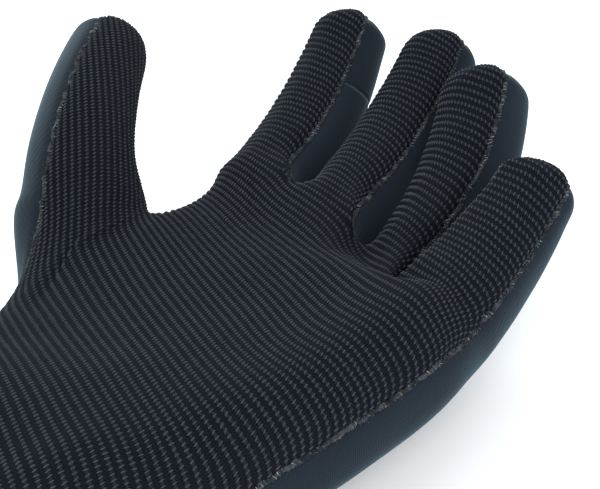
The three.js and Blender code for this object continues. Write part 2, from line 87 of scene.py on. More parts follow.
# %% Sections round the hand and the cuff
# along: y from the wrist line, edge: x from the middle line, round: radius of the side,
# rise: height of its centre, top: height of the palm's middle, seam: its turn in degrees.
# The first of a pair is the thumb's side, the second the little finger's.
HAND_ROWS = [
    dict(along=(0.15, 0.15), edge=(-0.420, 0.455), round=(0.52, 0.54),
         rise=(0.52, 0.60), top=1.15, seam=(72, 70)),
    dict(along=(0.30, 0.30), edge=(-0.465, 0.490), round=(0.46, 0.47),
         rise=(0.45, 0.66), top=1.06, seam=(68, 70)),
    dict(along=(0.46, 0.43), edge=(-0.500, 0.512), round=(0.46, 0.45),
         rise=(0.50, 0.67), top=1.00, seam=(80, 69)),
    dict(along=(0.63, 0.54), edge=(-0.500, 0.518), round=(0.44, 0.46),
         rise=(0.50, 0.65), top=0.95, seam=(90, 69)),
    dict(along=(0.84, 0.64), edge=(-0.522, 0.527), round=(0.38, 0.46),
         rise=(0.49, 0.65), top=0.93, seam=(92, 69)),
    dict(along=(0.95, 0.74), edge=(-0.490, 0.529), round=(0.39, 0.44),
         rise=(0.47, 0.67), top=0.92, seam=(85, 70)),
]
# (share of the cuff's length beyond the wrist line, share of the way to the open end's section)
CUFF_ROWS = [(1.0, 1.00), (0.8, 0.84), (0.6, 0.60), (0.4, 0.33), (0.2, 0.10), (0.0, 0.00)]
WRIST_SHIFT = 0.025        # the wrist's middle towards the little finger, share of HAND_WIDTH
CUFF_ROUND = 0.5           # radius of the sides of the wrist and the cuff, share of thickness
CUFF_SEAM = 74             # turn of the seam there, in degrees
PALM_TURNS = (0.56, 0.12)  # palm columns beside a side, as shares of the turn to the seam
BACK_TURNS = (118, 166)    # back columns beside a side, in degrees from straight up

# %% The fingers, the crotches and the thumb
# yaw and pitch: heading at the root and at the tip. seam: turn from the palm's middle line to the
# seam on each side. squeeze: how far each side is flattened at the root by the next finger.
FINGERS = [
    dict(name="index", length=0.082, across=-0.369, along=0.050, height=0.57, width=0.280, taper=0.81,
         yaw=(-14, -17), pitch=(6, 32), root_seam=(75, 39), seam=(75, 39), squeeze=(0, 0.17)),
    dict(name="middle", length=0.091, across=-0.111, along=0.006, height=0.59, width=0.268, taper=0.84,
         yaw=(-9, -13), pitch=(0, 28), root_seam=(78, 48), seam=(80, 50), squeeze=(0.17, 0.09)),
    dict(name="ring", length=0.084, across=0.146, along=-0.052, height=0.40, width=0.268, taper=0.89,
         yaw=(2, -25), pitch=(9, 34), root_seam=(82, 36), seam=(86, 32), squeeze=(0.09, 0.2)),
    dict(name="little", length=0.0575, across=0.362, along=-0.162, height=0.65, width=0.284, taper=0.78,
         yaw=(3, -3), pitch=(5, 26), root_seam=(40, 67), seam=(44, 67), squeeze=(0.22, -0.13)),
]
FINGER_STATIONS = (0.13, 0.28, 0.42, 0.56, 0.68, 0.86, 1)  # rings, shares of straight length
SQUEEZE_REACH = 0.62      # share of a finger's length over which its squeezed sides fill out
SEAM_SETTLED = 0.45       # share of its length by which a finger's seam reaches its own turn
TIP_THINNING = 0.15       # how far the back of a fingertip is thinned, share of its radius
THINNING_START = 0.72     # share of its length where that starts
JOINED_FINGER = 0         # the index finger, whose back is joined at one of its rings
JOINED_LEAN = (0, 0, 0, 0.3, 0.6, 0.35, 0.1)  # lean of its rings to the tip, shares of the radius
JOINED_RING = JOINED_LEAN.index(max(JOINED_LEAN)) + 1
# From the index finger's crotch to the little finger's: (along, lift), from midway between two roots
CROTCHES = [(0.026, 0.315), (0.018, 0.325), (-0.033, 0.240)]
CROTCH_SET_BACK = 0.035   # the palm and the back stop this share of HAND_LENGTH short of it
CROTCH_PALM = 0.375       # heights of the palm and the back there, shares of HAND_THICKNESS
CROTCH_BACK = -0.34
THUMB = dict(name="thumb", length=0.101, across=-0.458, along=-0.495, height=0.37, turn=47,
             yaw=(-45, -33), pitch=(44.7, 10), root_seam=(76, 80), seam=(65, 81), tip_seam=(48, 84),
             squeeze=(0, 0))
THUMB_STATIONS = (0.22, 0.35, 0.48, 0.61, 0.74, 0.87, 1)
# The thumb's first rings, in shares of the radius: how far the web's side stands out, how far the
# ring leans to the tip there, and how far the back is thinned
THUMB_ROOT = [(0.40, 0.55, 0.08), (0.28, 0.30, 0.10), (0.10, 0.10, 0.05)]
WEB_TURN = 60             # the web's direction round the thumb, in degrees from its palm side
# Edges of the thumb's opening on the two rows it lies between: x and z of the ball, then of the heel
THUMB_EDGES = [((-0.378, 0.99), (-0.49, 0.08)), ((-0.400, 0.93), (-0.51, 0.08))]
THUMB_FIRST_ROW = len(CUFF_ROWS) + 1
LAST_RING_TURN = 62       # angle from the tip to the last ring of a finger, in degrees
FITTING_PASSES = 5        # rounds in which the cage is drawn to its points
EASING_PASSES = 4         # rounds in which the lining's directions are eased
print("fingers:", ", ".join(f"{finger['name']} {finger['length'] / MM:.1f} mm" for finger in FINGERS))

# %% [markdown]
# ## Camera
#
# The camera comes first, because it decides how fine each detail has to be. Its place and its lens
# were worked out from the outlines of the fingers, so it stands where the photographer's stood: low,
# on the little finger's side, and turned a little about its own axis.

# %% Place the camera
CAMERA_PLACE = Vector((0.2023, -0.1572, 0.1865))
CAMERA_TARGET = Vector((-0.0049, 0.0607, 0.0062))
CAMERA_ROLL = math.radians(-4.9)
CAMERA_LENS = 72.5
camera_data = bpy.data.cameras.new("glove_camera")
camera_data.lens = CAMERA_LENS
camera_data.sensor_width = 36
camera = bpy.data.objects.new("glove_camera", camera_data)
bpy.context.scene.collection.objects.link(camera)
aim = (CAMERA_TARGET - CAMERA_PLACE).to_track_quat("-Z", "Y").to_matrix()
camera.matrix_world = Matrix.Translation(CAMERA_PLACE) @ (
    aim @ Matrix.Rotation(CAMERA_ROLL, 3, "Z")).to_4x4()
bpy.context.scene.camera = camera
print("camera distance:", round((CAMERA_TARGET - CAMERA_PLACE).length / MM), "mm")

# %% [markdown]
# ## Turns and blends
#
# Angles in the tables are degrees, so a few small helpers keep the formulas readable.

# %% Small helpers
def cos(degrees):
    return math.cos(math.radians(degrees))


def sin(degrees):
    return math.sin(math.radians(degrees))


def lerp(start, end, share):
    return start + (end - start) * share


def clamp(value, low=0.0, high=1.0):
    return max(low, min(high, value))


def unit(vectors):
    """The same directions, each one long."""
    return vectors / np.maximum(np.linalg.norm(vectors, axis=-1, keepdims=True), 1e-12)



# %% [markdown]
# ## The cage
#
# Each cage point carries six numbers: its place, and where it lies on the flat cloth. For the knit
# that is a pair (u, v): u goes across the hand and v up it. The thumb is cut in one piece with the
# palm, so it has its place on the same cloth, along the knit's ribs. The sixth number, s, is the
# distance along the hand or finger, which the jersey's fine rows follow.

# %% Cage points and cells
points = []
cells = []


def add_point(place, u, v, s):
    points.append([*place, u, v, s])
    return len(points) - 1


def add_cell(panel, *corners):
    cells.append((panel, corners))


# %% The middle line of a finger
def finger_frame(finger, share):
    """Directions ahead, out of its palm side and to its side, at a share of a finger's length."""
    yaw = lerp(*finger["yaw"], share)
    pitch = lerp(*finger["pitch"], share)
    ahead = np.array([cos(pitch) * sin(yaw), cos(pitch) * cos(yaw), sin(pitch)])
    up = np.array([-sin(pitch) * sin(yaw), -sin(pitch) * cos(yaw), cos(pitch)])
    turn = finger.get("turn", 0)
    palm = up * cos(turn) + np.cross(ahead, up) * sin(turn)
    return dict(ahead=ahead, palm=palm, side=np.cross(ahead, palm))


def finger_line(finger, root_radius, tip_radius, stations):
    """The stations along a bent finger, each with its centre, directions and radius."""
    straight = finger["length"] - tip_radius
    centre = np.array([finger["across"] * HAND_WIDTH, finger["along"] * HAND_LENGTH,
                       finger["height"] * HAND_THICKNESS])
    steps = 10
    line = []
    share = 0.0
    for station in (0, *stations):
        for step in range(steps):
            middle = lerp(share, station, (step + 0.5) / steps)
            stride = (station - share) * straight / steps
            centre = centre + finger_frame(finger, middle)["ahead"] * stride
        share = station
        filled = max(0, 1 - share / SQUEEZE_REACH)
        thinned = TIP_THINNING * max(0, (share - THINNING_START) / (1 - THINNING_START))
        line.append(dict(finger_frame(finger, share), share=share, reach=share * straight,
                         radius=lerp(root_radius, tip_radius, share), centre=centre,
                         squeeze=[most * filled for most in finger["squeeze"]], thinned=thinned))
    return line


def ring_place(station, angle, scale=1, forward=0):
    """A place round a station. The angle is 0 on the palm side and grows towards the little finger."""
    radius = station["radius"] * scale
    flattened = station["squeeze"][0 if sin(angle) < 0 else 1]
    thinned = station["thinned"] if cos(angle) < 0 else 0
    return (station["centre"] + station["palm"] * radius * (1 - thinned) * cos(angle)
            + station["side"] * radius * (1 - flattened) * sin(angle)
            + station["ahead"] * station["radius"] * forward)


def ring_angles(seam, half):
    shares = [i / half for i in range(half)]
    return ([lerp(-seam[0], seam[1], t) for t in shares]
            + [lerp(seam[1], 360 - seam[0], t) for t in shares])


def seam_turns(finger, share):
    """How far the two seams lie from the palm's middle line there, in degrees."""
    settled = min(1, share / SEAM_SETTLED)
    ending = max(0, (share - SEAM_SETTLED) / (1 - SEAM_SETTLED))
    tips = finger.get("tip_seam", finger["seam"])
    return [lerp(lerp(root, turn, settled), tip, ending)
            for root, turn, tip in zip(finger["root_seam"], finger["seam"], tips)]


# %% Columns of a section
LAST = 2 * len(FINGERS)
THUMB_SEAM = 0
LITTLE_SEAM = LAST + 2
COLUMNS = 2 * LITTLE_SEAM
FINGER_HALF = 4   # cells round a finger from one seam to the other
THUMB_HALF = 7


def palm_column(k):
    return 1 + k


def back_column(k):
    return COLUMNS - 1 - k


# %% One section round the hand
def hand_section(row, spread):
    section = [None] * COLUMNS
    y, edge, side_radius, rise = row["y"], row["edge"], row["round"], row["rise"]
    seam, top = row["seam"], row["top"]

    def at(x, z):
        return np.array([x, lerp(*y, clamp((x - edge[0]) / (edge[1] - edge[0]))), z])

    def on_side(side, angle):
        outwards = -1 if side == 0 else 1
        x = edge[side] + outwards * side_radius[side] * (sin(angle) - 1)
        return at(x, rise[side] + side_radius[side] * cos(angle))

    section[THUMB_SEAM] = on_side(0, seam[0])
    section[LITTLE_SEAM] = on_side(1, seam[1])
    for k in (0, 1):
        section[palm_column(k)] = on_side(0, seam[0] * PALM_TURNS[k])
        section[palm_column(LAST - k)] = on_side(1, seam[1] * PALM_TURNS[k])
        section[back_column(k)] = on_side(0, BACK_TURNS[k])
        section[back_column(LAST - k)] = on_side(1, BACK_TURNS[k])
    first, last = section[palm_column(1)], section[palm_column(LAST - 1)]
    first_back, last_back = section[back_column(1)], section[back_column(LAST - 1)]
    for k in range(2, LAST - 1):
        t = spread[k]
        bulge = 4 * t * (1 - t) * (top - (first[2] + last[2]) / 2)
        section[palm_column(k)] = at(lerp(first[0], last[0], t), lerp(first[2], last[2], t) + bulge)
        section[back_column(k)] = at(lerp(first_back[0], last_back[0], t), -REST_SINK)
    return section


def sized_row(row):
    def scaled(pair, size):
        return [share * size for share in pair]
    return dict(y=[(share - 1) * HAND_LENGTH for share in row["along"]],
                edge=scaled(row["edge"], HAND_WIDTH), round=scaled(row["round"], HAND_THICKNESS),
                rise=scaled(row["rise"], HAND_THICKNESS), top=row["top"] * HAND_THICKNESS,
                seam=row["seam"])


def sized_cuff_row(along, flare):
    width = lerp(WRIST_WIDTH, CUFF_WIDTH, flare)
    thickness = lerp(WRIST_THICKNESS, CUFF_THICKNESS, flare)
    middle = WRIST_SHIFT * HAND_WIDTH
    y = -HAND_LENGTH - along * CUFF_LENGTH
    radius = CUFF_ROUND * thickness
    return dict(y=(y, y), edge=(middle - width / 2, middle + width / 2), round=(radius, radius),
                rise=(radius, radius), top=thickness, seam=(CUFF_SEAM, CUFF_SEAM))


# %% The knuckles, where the fingers start
def knuckle_section(lines):
    section = [None] * COLUMNS
    crotch = []
    for i, line in enumerate(lines):
        angles = ring_angles(seam_turns(FINGERS[i], 0), FINGER_HALF)
        at = [ring_place(line[0], angle) for angle in angles]
        section[palm_column(2 * i + 1)] = at[2]
        section[back_column(2 * i + 1)] = at[6]
        if i == 0:
            section[THUMB_SEAM], section[palm_column(0)], section[back_column(0)] = at[0], at[1], at[7]
            continue
        if i == len(lines) - 1:
            section[LITTLE_SEAM], section[palm_column(LAST)] = at[4], at[3]
            section[back_column(LAST)] = at[5]
        middle = (lines[i - 1][0]["centre"] + line[0]["centre"]) / 2
        along, lift = CROTCHES[i - 1]
        crotch.append(middle + [0, along * HAND_LENGTH, lift * HAND_THICKNESS])
        set_back = (along - CROTCH_SET_BACK) * HAND_LENGTH
        section[palm_column(2 * i)] = middle + [0, set_back, CROTCH_PALM * HAND_THICKNESS]
        section[back_column(2 * i)] = middle + [0, set_back, CROTCH_BACK * HAND_THICKNESS]
    return section, crotch


# %% Across the hand, and the holes for the fingers and the thumb
def arc_across(section):
    """How far round the section each column lies from the palm's middle one."""
    middle = palm_column(LAST // 2)
    across = [0.0] * COLUMNS
    across[middle] = section[middle][0]
    for step, count in ((1, COLUMNS // 2), (-1, COLUMNS // 2 - 1)):
        c = middle
        for _ in range(count):
            d = (c + step) % COLUMNS
            gap = np.linalg.norm((section[d] - section[c])[[0, 2]])
            across[d] = across[c] + step * gap
            c = d
    return across


def finger_roots(top, crotch_ids):
    """The eight points round the root of each finger."""
    rings = []
    for i in range(len(FINGERS)):
        rings.append([
            top[THUMB_SEAM] if i == 0 else crotch_ids[i - 1],
            top[palm_column(2 * i)], top[palm_column(2 * i + 1)], top[palm_column(2 * i + 2)],
            top[LITTLE_SEAM] if i == len(FINGERS) - 1 else crotch_ids[i],
            top[back_column(2 * i + 2)], top[back_column(2 * i + 1)], top[back_column(2 * i)],
        ])
    return rings


def thumb_hole(rows):
    """The points round the hole in the thumb's side, from which the thumb grows."""
    low, *between, high = rows
    return [low[THUMB_SEAM], low[palm_column(0)], low[palm_column(1)],
            *[row[palm_column(1)] for row in between],
            high[palm_column(1)], high[palm_column(0)], high[THUMB_SEAM],
            high[back_column(0)], high[back_column(1)],
            *[row[back_column(1)] for row in reversed(between)],
            low[back_column(1)], low[back_column(0)]]


# %% All sections of the hand and their cells
def add_hand(lines):
    """Adds the hand and the cuff, and gives the rings that the fingers and the thumb grow from."""
    knuckles, crotch = knuckle_section(lines)
    first, last = knuckles[palm_column(1)][0], knuckles[palm_column(LAST - 1)][0]
    spread = [(knuckles[palm_column(k)][0] - first) / (last - first) for k in range(LAST + 1)]
    rows = [sized_cuff_row(*row) for row in CUFF_ROWS] + [sized_row(row) for row in HAND_ROWS]
    sections = [hand_section(row, spread) for row in rows] + [knuckles]
    thumb_last_row = THUMB_FIRST_ROW + len(THUMB_EDGES) + 1
    for i, (ball, heel) in enumerate(THUMB_EDGES):
        section = sections[THUMB_FIRST_ROW + 1 + i]
        for column, (x, z) in ((palm_column(1), ball), (back_column(1), heel)):
            section[column][0] = x * HAND_WIDTH
            section[column][2] = z * HAND_THICKNESS
    covered = (palm_column(0), THUMB_SEAM, back_column(0))
    ids = []
    for r, section in enumerate(sections):
        inside = THUMB_FIRST_ROW < r < thumb_last_row
        across = arc_across(section)
        ids.append([None if inside and c in covered else add_point(place, across[c], place[1], place[1])
                    for c, place in enumerate(section)])
    for r in range(len(ids) - 1):
        for c in range(COLUMNS):
            d = (c + 1) % COLUMNS
            beside = c in covered or d in covered
            if beside and THUMB_FIRST_ROW <= r < thumb_last_row:
                continue
            panel = "palm_panel" if c < LITTLE_SEAM else "back_panel"
            add_cell(panel, ids[r][c], ids[r][d], ids[r + 1][d], ids[r + 1][c])
    crotch_ids = [add_point(place, place[0], place[1], place[1]) for place in crotch]
    return finger_roots(ids[-1], crotch_ids), thumb_hole(ids[THUMB_FIRST_ROW:thumb_last_row + 1])


# %% One finger
DOME_STRETCH = 1.3  # length of cloth over a fingertip for each radius of its height


def add_finger(i, line, root_ring):
    finger = FINGERS[i]
    root_u, root_v = line[0]["centre"][:2]
    ring = root_ring

    def back_panel(number):
        return "index_back_panel" if i == JOINED_FINGER and number >= JOINED_RING else "back_panel"

    def cloth_place(station, angle, scale=1, forward=0):
        signed = angle if angle <= 180 else angle - 360
        u = root_u + station["radius"] * scale * math.radians(signed)
        v = root_v + station["reach"] + station["radius"] * forward * DOME_STRETCH
        return ring_place(station, angle, scale, forward), u, v, v

    def grow(number, new_ring):
        for c in range(2 * FINGER_HALF):
            d = (c + 1) % (2 * FINGER_HALF)
            add_cell("palm_panel" if c < FINGER_HALF else back_panel(number),
                     ring[c], ring[d], new_ring[d], new_ring[c])
        return new_ring

    for number, station in enumerate(line[1:]):
        lean = JOINED_LEAN[number] / 2 if i == JOINED_FINGER else 0
        angles = ring_angles(seam_turns(finger, station["share"]), FINGER_HALF)
        ring = grow(number, [add_point(*cloth_place(station, angle, 1, lean * (1 - cos(angle))))
                             for angle in angles])
    end = line[-1]
    angles = ring_angles(seam_turns(finger, 1), FINGER_HALF)
    scale, forward = sin(LAST_RING_TURN), cos(LAST_RING_TURN)
    ring = grow(len(FINGER_STATIONS), [add_point(*cloth_place(end, angle, scale, forward))
                                       for angle in angles])
    tip = add_point(*cloth_place(end, 0, 0, 1))
    a, b, c, d, e, f, g, h = ring
    add_cell("palm_panel", a, b, c, tip)
    add_cell("palm_panel", tip, c, d, e)
    add_cell(back_panel(JOINED_RING), f, g, tip, e)
    add_cell(back_panel(JOINED_RING), g, h, a, tip)


# %% The thumb
KNIT_TURN = -21           # turn of the ribs on the palm from straight across, in degrees
THUMB_CLOTH_U = -0.0235   # place of the thumb's root on the flat cloth
THUMB_CLOTH_V = -0.046


def add_thumb(opening):
    line = finger_line(THUMB, THUMB_ROOT_WIDTH / 2, THUMB_TIP_WIDTH / 2, THUMB_STATIONS)
    ring = opening

    def cloth_place(station, angle, scale=1, forward=0):
        signed = angle if angle <= 190 else angle - 360
        far = station["reach"] + station["radius"] * forward * (DOME_STRETCH if scale < 1 else 1)
        wide = station["radius"] * scale * math.radians(signed)
        u = THUMB_CLOTH_U - far * cos(KNIT_TURN) - wide * sin(KNIT_TURN)
        v = THUMB_CLOTH_V - far * sin(KNIT_TURN) + wide * cos(KNIT_TURN)
        return ring_place(station, angle, scale, forward), u, v, THUMB_CLOTH_V + far

    def grow(new_ring):
        for c in range(2 * THUMB_HALF):
            d = (c + 1) % (2 * THUMB_HALF)
            add_cell("palm_panel" if c < THUMB_HALF else "back_panel",
                     ring[c], ring[d], new_ring[d], new_ring[c])
        return new_ring

    for number, station in enumerate(line[1:]):
        settled = (0, 0, station["thinned"])
        flare, lean, thin = THUMB_ROOT[number] if number < len(THUMB_ROOT) else settled
        station["squeeze"] = [0, -flare]
        station["thinned"] = thin
        angles = ring_angles(seam_turns(THUMB, station["share"]), THUMB_HALF)
        ring = grow([add_point(*cloth_place(station, angle, 1, lean * max(0, cos(angle - WEB_TURN))))
                     for angle in angles])
    end = line[-1]
    angles = ring_angles(seam_turns(THUMB, 1), THUMB_HALF)
    scale, forward = sin(LAST_RING_TURN), cos(LAST_RING_TURN)
    ring = grow([add_point(*cloth_place(end, angle, scale, forward)) for angle in angles])
    border = [(2, 3, 4, 5), (1, None, None, 6), (0, None, None, 7), (13, None, None, 8),
              (12, 11, 10, 9)]

    def dome_point(start, stop, t):
        across = lerp(ring_place(end, angles[start], scale), ring_place(end, angles[stop], scale), t)
        reach = np.linalg.norm(across - end["centre"])
        place = across + end["ahead"] * math.sqrt(end["radius"] ** 2 - reach ** 2)
        flat = lerp(np.array(points[ring[start]][3:]), np.array(points[ring[stop]][3:]), t)
        further = (end["radius"] * (DOME_STRETCH - forward)) * 4 * t * (1 - t)
        return add_point(place, flat[0] - further * cos(KNIT_TURN), flat[1] - further * sin(KNIT_TURN),
                         flat[2] + further)

    grid = [[dome_point(column[0], column[3], j / 3) if corner is None else ring[corner]
             for j, corner in enumerate(column)] for column in border]
    for i in range(4):
        for j in range(3):
            add_cell("palm_panel" if i < 2 else "back_panel",
                     grid[i][j], grid[i][j + 1], grid[i + 1][j + 1], grid[i + 1][j])


# %% Build the whole cage
lines = [finger_line(finger, finger["width"] * HAND_WIDTH / 2,
                     finger["width"] * HAND_WIDTH * finger["taper"] / 2, FINGER_STATIONS)
         for finger in FINGERS]
finger_rings, thumb_opening = add_hand(lines)
for i, line in enumerate(lines):
    add_finger(i, line, finger_rings[i])
cells_before_thumb = len(cells)
add_thumb(thumb_opening)
cage_values = np.array(points)
cage_quads = np.array([corners for _, corners in cells])
PANELS = ["palm_panel", "back_panel", "index_back_panel"]
cage_panel = np.array([PANELS.index(panel) for panel, _ in cells])
print(f"cage: {len(points)} points, {len(cells)} cells")

# %% [markdown]
# ## From the cage to a smooth skin
#
# Blender's Subdivision Surface modifier would round the cage off, but the skin has to pass exactly
# where the panels do. So the same smoothing rule is written out here with arrays. First the cage is
# pushed outwards until its smooth skin meets every point, and then each cell is split into four,
# three times. The panels are the first of these levels, and the cloths use the finest. Each point's
# place on the flat cloth is smoothed along with the rest.

# %% Rules of the smooth skin
def edge_table(quads):
    """Edges of a mesh of four-sided cells, each cell's edge numbers, and how many cells use each."""
    ends = np.sort(np.stack([quads, np.roll(quads, -1, axis=1)], axis=2).reshape(-1, 2), axis=1)
    edges, index, uses = np.unique(ends, axis=0, return_inverse=True, return_counts=True)
    return edges, index.reshape(-1, 4), uses


def gather(count, targets, values):
    total = np.zeros((count, values.shape[1]))
    np.add.at(total, targets, values)
    return total


def sum_along(edges, values):
    """For each point, the sum of the values at the far ends of its edges."""
    count = len(values)
    return gather(count, edges[:, 0], values[edges[:, 1]]) + gather(count, edges[:, 1], values[edges[:, 0]])


def neighbour_sums(values, quads):
    edges, index, uses = edge_table(quads)
    count = len(values)
    near = sum_along(edges, values)
    valence = np.bincount(edges.ravel(), minlength=count)
    across = gather(count, quads.ravel(), values[np.roll(quads, 2, axis=1)].reshape(-1, values.shape[1]))
    rim = edges[uses == 1]
    on_rim = np.zeros(count, bool)
    on_rim[rim.ravel()] = True
    along = sum_along(rim, values)
    return edges, index, uses, near, valence[:, None].astype(float), across, on_rim[:, None], along


def skin_points(values, quads):
    """Where the smooth skin passes at each point."""
    _, _, _, near, n, across, on_rim, along = neighbour_sums(values, quads)
    inside = (values * n * n + near * 4 + across) / (n * (n + 5))
    return np.where(on_rim, (values * 4 + along) / 6, inside)


def cage_through(values, quads):
    """A cage whose smooth skin passes through the given places."""
    cage = values.copy()
    for _ in range(FITTING_PASSES):
        cage[:, :3] += values[:, :3] - skin_points(cage, quads)[:, :3]
    return cage


def subdivide(values, quads, panel):
    """Splits every cell into four and smooths the points, as Catmull and Clark's rule says."""
    edges, index, uses, near, n, across, on_rim, along = neighbour_sums(values, quads)
    count = len(values)
    centres = values[quads].mean(axis=1)
    beside = gather(len(edges), index.ravel(), np.repeat(centres, 4, axis=0))
    ends = values[edges].sum(axis=1)
    middles = np.where((uses == 2)[:, None], (ends + beside) / 4, ends / 2)
    inside = (values * (4 * n * n - 7 * n) + near * 6 + across) / (4 * n * n)
    moved = np.where(on_rim, (values * 6 + along) / 8, inside)
    f = count + np.arange(len(quads))
    ab, bc, cd, da = (count + len(quads) + index).T
    a, b, c, d = quads.T
    children = np.stack([np.stack(child, axis=1) for child in (
        (a, ab, f, da), (ab, b, bc, f), (f, bc, c, cd), (da, f, cd, d))], axis=1)
    return np.concatenate([moved, centres, middles]), children.reshape(-1, 4), np.repeat(panel, 4)


def outward(place, quads):
    """The outward direction of the skin at each point."""
    a, b, c, d = (place[quads[:, k]] for k in range(4))
    face = np.cross(c - a, d - b)
    total = gather(len(place), quads.ravel(), np.repeat(face, 4, axis=0))
    return unit(total)


# %% Three levels of skin
SKIN_LEVELS = 3
values, quads, panel = cage_through(cage_values, cage_quads), cage_quads, cage_panel
on_thumb = np.arange(len(quads)) >= cells_before_thumb
levels = []
for _ in range(SKIN_LEVELS):
    values, quads, panel = subdivide(values, quads, panel)
    on_thumb = np.repeat(on_thumb, 4)
    skin = skin_points(values, quads)
    skin[:, 2] = np.maximum(skin[:, 2], 0)
    levels.append((skin, quads, panel, on_thumb))
first_skin = levels[0][0][:, :3]
low, high = first_skin.min(axis=0), first_skin.max(axis=0)
SHIFT = np.array([(cad_box[0][k] + cad_box[1][k]) / 2 - (low[k] + high[k]) / 2 for k in (0, 1)] + [0.0])
print("skin box in mm:", (low / MM).round(2), (high / MM).round(2))
print("moved by, in mm:", (SHIFT / MM).round(3))

# %% [markdown]
# ## The soft fold at the thumb's root
#
# Thick cloth bends in a wide curve, so no sharp crease stays where the thumb leaves the palm. Each
# point there is moved along its normal towards the mean of its neighbours. A share of the thumb,
# 1 on it and 0 far from it, is spread from point to point to say how much, and where.

# %% A soft share of the thumb
THUMB_SPREAD_ROUNDS = 110
skin, quads, panel, on_thumb = levels[-1]
knit_quads = quads[panel == 0]
used = np.unique(knit_quads)
number = np.full(len(skin), -1)
number[used] = np.arange(len(used))
knit_local = number[knit_quads]
knit_edges, _, knit_uses = edge_table(knit_local)
knit_near = np.maximum(np.bincount(knit_edges.ravel(), minlength=len(used)), 1)[:, None]


def shared_out(values, rounds):
    """Shares the values out between neighbours, one round after the next."""
    for _ in range(rounds):
        values = (values + sum_along(knit_edges, values) / knit_near) / 2
    return values


thumb_share = np.zeros((len(used), 1))
thumb_share[np.unique(knit_local[on_thumb[panel == 0]])] = 1
thumb_share = shared_out(thumb_share, THUMB_SPREAD_ROUNDS)
print("knit points with a share of the thumb over a half:", int((thumb_share > 0.5).sum()))

# %% Ease the crease at the thumb's root
CREASE_ROUNDS = 120
CREASE_WIDTH = 1.3        # more than one lets the middle of the zone move fully
CREASE_STRIDE = 0.5       # share of the way to the neighbours' mean in one round
CREASE_MOST = 4.0 * MM
root_share = shared_out(thumb_share, THUMB_SPREAD_ROUNDS)
zone = 4 * root_share * (1 - root_share)
zone[np.unique(knit_edges[knit_uses == 1])] = 0
stride = CREASE_STRIDE * np.minimum(1, CREASE_WIDTH * zone)
eased = skin[used, :3].copy()
for _ in range(CREASE_ROUNDS):
    eased += stride * (sum_along(knit_edges, eased) / knit_near - eased)
outwards = outward(skin[:, :3], quads)[used]
moved = outwards * ((eased - skin[used, :3]) * outwards).sum(axis=1, keepdims=True)
reach = np.maximum(np.linalg.norm(moved, axis=1, keepdims=True), 1e-12)
moved *= np.minimum(1, CREASE_MOST / reach)
skin[used, :3] += moved
print(f"the crease asked for {reach.max() / MM:.1f} mm, and was given {CREASE_MOST / MM:.1f} mm at most")

# %% [markdown]
# ## Flat cloth on a round form
#
# Real knit hardly stretches where nothing pulls it, so its ribs keep an even distance. The cage gives
# only a rough guess for (u, v). It is relaxed first: each edge of the fine skin acts as a spring that
# pulls its two ends to the edge's true length apart on the flat cloth.

# %% Let the cloth relax
RELAX_ROUNDS = 300
RELAX_STRIDE = 0.8        # share of each spring's pull that is followed in one round


def relax(flat, place, quads, rounds):
    """Moves the flat cloth's points until its edges are as long as on the skin, or nearly."""
    edges = edge_table(quads)[0]
    pairs = np.concatenate([edges, quads[:, [0, 2]], quads[:, [1, 3]]])
    a, b = pairs.T
    length = np.linalg.norm(place[a] - place[b], axis=1)
    pulls = np.maximum(np.bincount(pairs.ravel(), minlength=len(flat)), 1)
    for _ in range(rounds):
        gap = flat[b] - flat[a]
        now = np.maximum(np.linalg.norm(gap, axis=1), 1e-9)
        push = gap * ((now - length) / now)[:, None]
        for k in (0, 1):
            move = np.bincount(a, push[:, k], len(flat)) - np.bincount(b, push[:, k], len(flat))
            flat[:, k] += RELAX_STRIDE * move / pulls
    stretch = now / np.maximum(length, 1e-9)
    return flat, stretch


flat, stretch = relax(skin[used, 3:5].copy(), skin[used, :3], knit_local, RELAX_ROUNDS)
print("stretch of the cloth, from 2% to 98%:", np.percentile(stretch, [2, 50, 98]).round(2))

# %% [markdown]
# ## Which way the ribs run
#
# On the palm and the fingers the ribs lie a little aslant. On the thumb they run along it, and they
# turn from one way to the other over its root. So the wanted direction of the ribs is laid down on
# every triangle first: one heading on the palm, the relaxed cloth's own on the fingers, the thumb's
# line on the thumb, and a soft mix between. Pulls turn it a little where a stretched cloth would.
# Then the pair (u, v) is solved whose slope fits that direction best, with even steps from rib to
# rib. Each is one sparse least-squares system, and conjugate gradients solve it quickly. Straying
# from the wanted direction costs more than an uneven step, as real ribs fan out a little.

# %% Where the cloth was pulled aslant
# x from the hand's middle line, y from the knuckle line, and the ribs' extra turn in degrees
KNIT_PULLS = [
    dict(x=0.043, y=-0.085, turn=14),   # edge of the palm, below the little finger
    dict(x=0.047, y=-0.060, turn=22),
    dict(x=0.047, y=-0.036, turn=22),
    dict(x=0.046, y=-0.005, turn=16),   # little finger
    dict(x=0.042, y=0.022, turn=12),
    dict(x=0.022, y=-0.048, turn=-6),   # middle of the palm
    dict(x=0.007, y=0.018, turn=-10),   # root of the ring finger
    dict(x=-0.008, y=0.002, turn=12),   # root of the middle finger
    dict(x=-0.020, y=0.060, turn=12),
    dict(x=-0.045, y=0.030, turn=7),    # index finger
]
PULL_REACH = 0.013
print("pulls on the knit:", len(KNIT_PULLS))


def extra_turn(spots):
    """The turn in radians at each place, blended from the pulls near it."""
    total = np.zeros(len(spots))
    shares = np.zeros(len(spots))
    for pull in KNIT_PULLS:
        away = np.hypot(spots[:, 0] - pull["x"], spots[:, 1] - pull["y"])
        near = np.exp(-(away / PULL_REACH) ** 2)
        total += near * math.radians(pull["turn"])
        shares += near
    return total / np.maximum(1, shares)


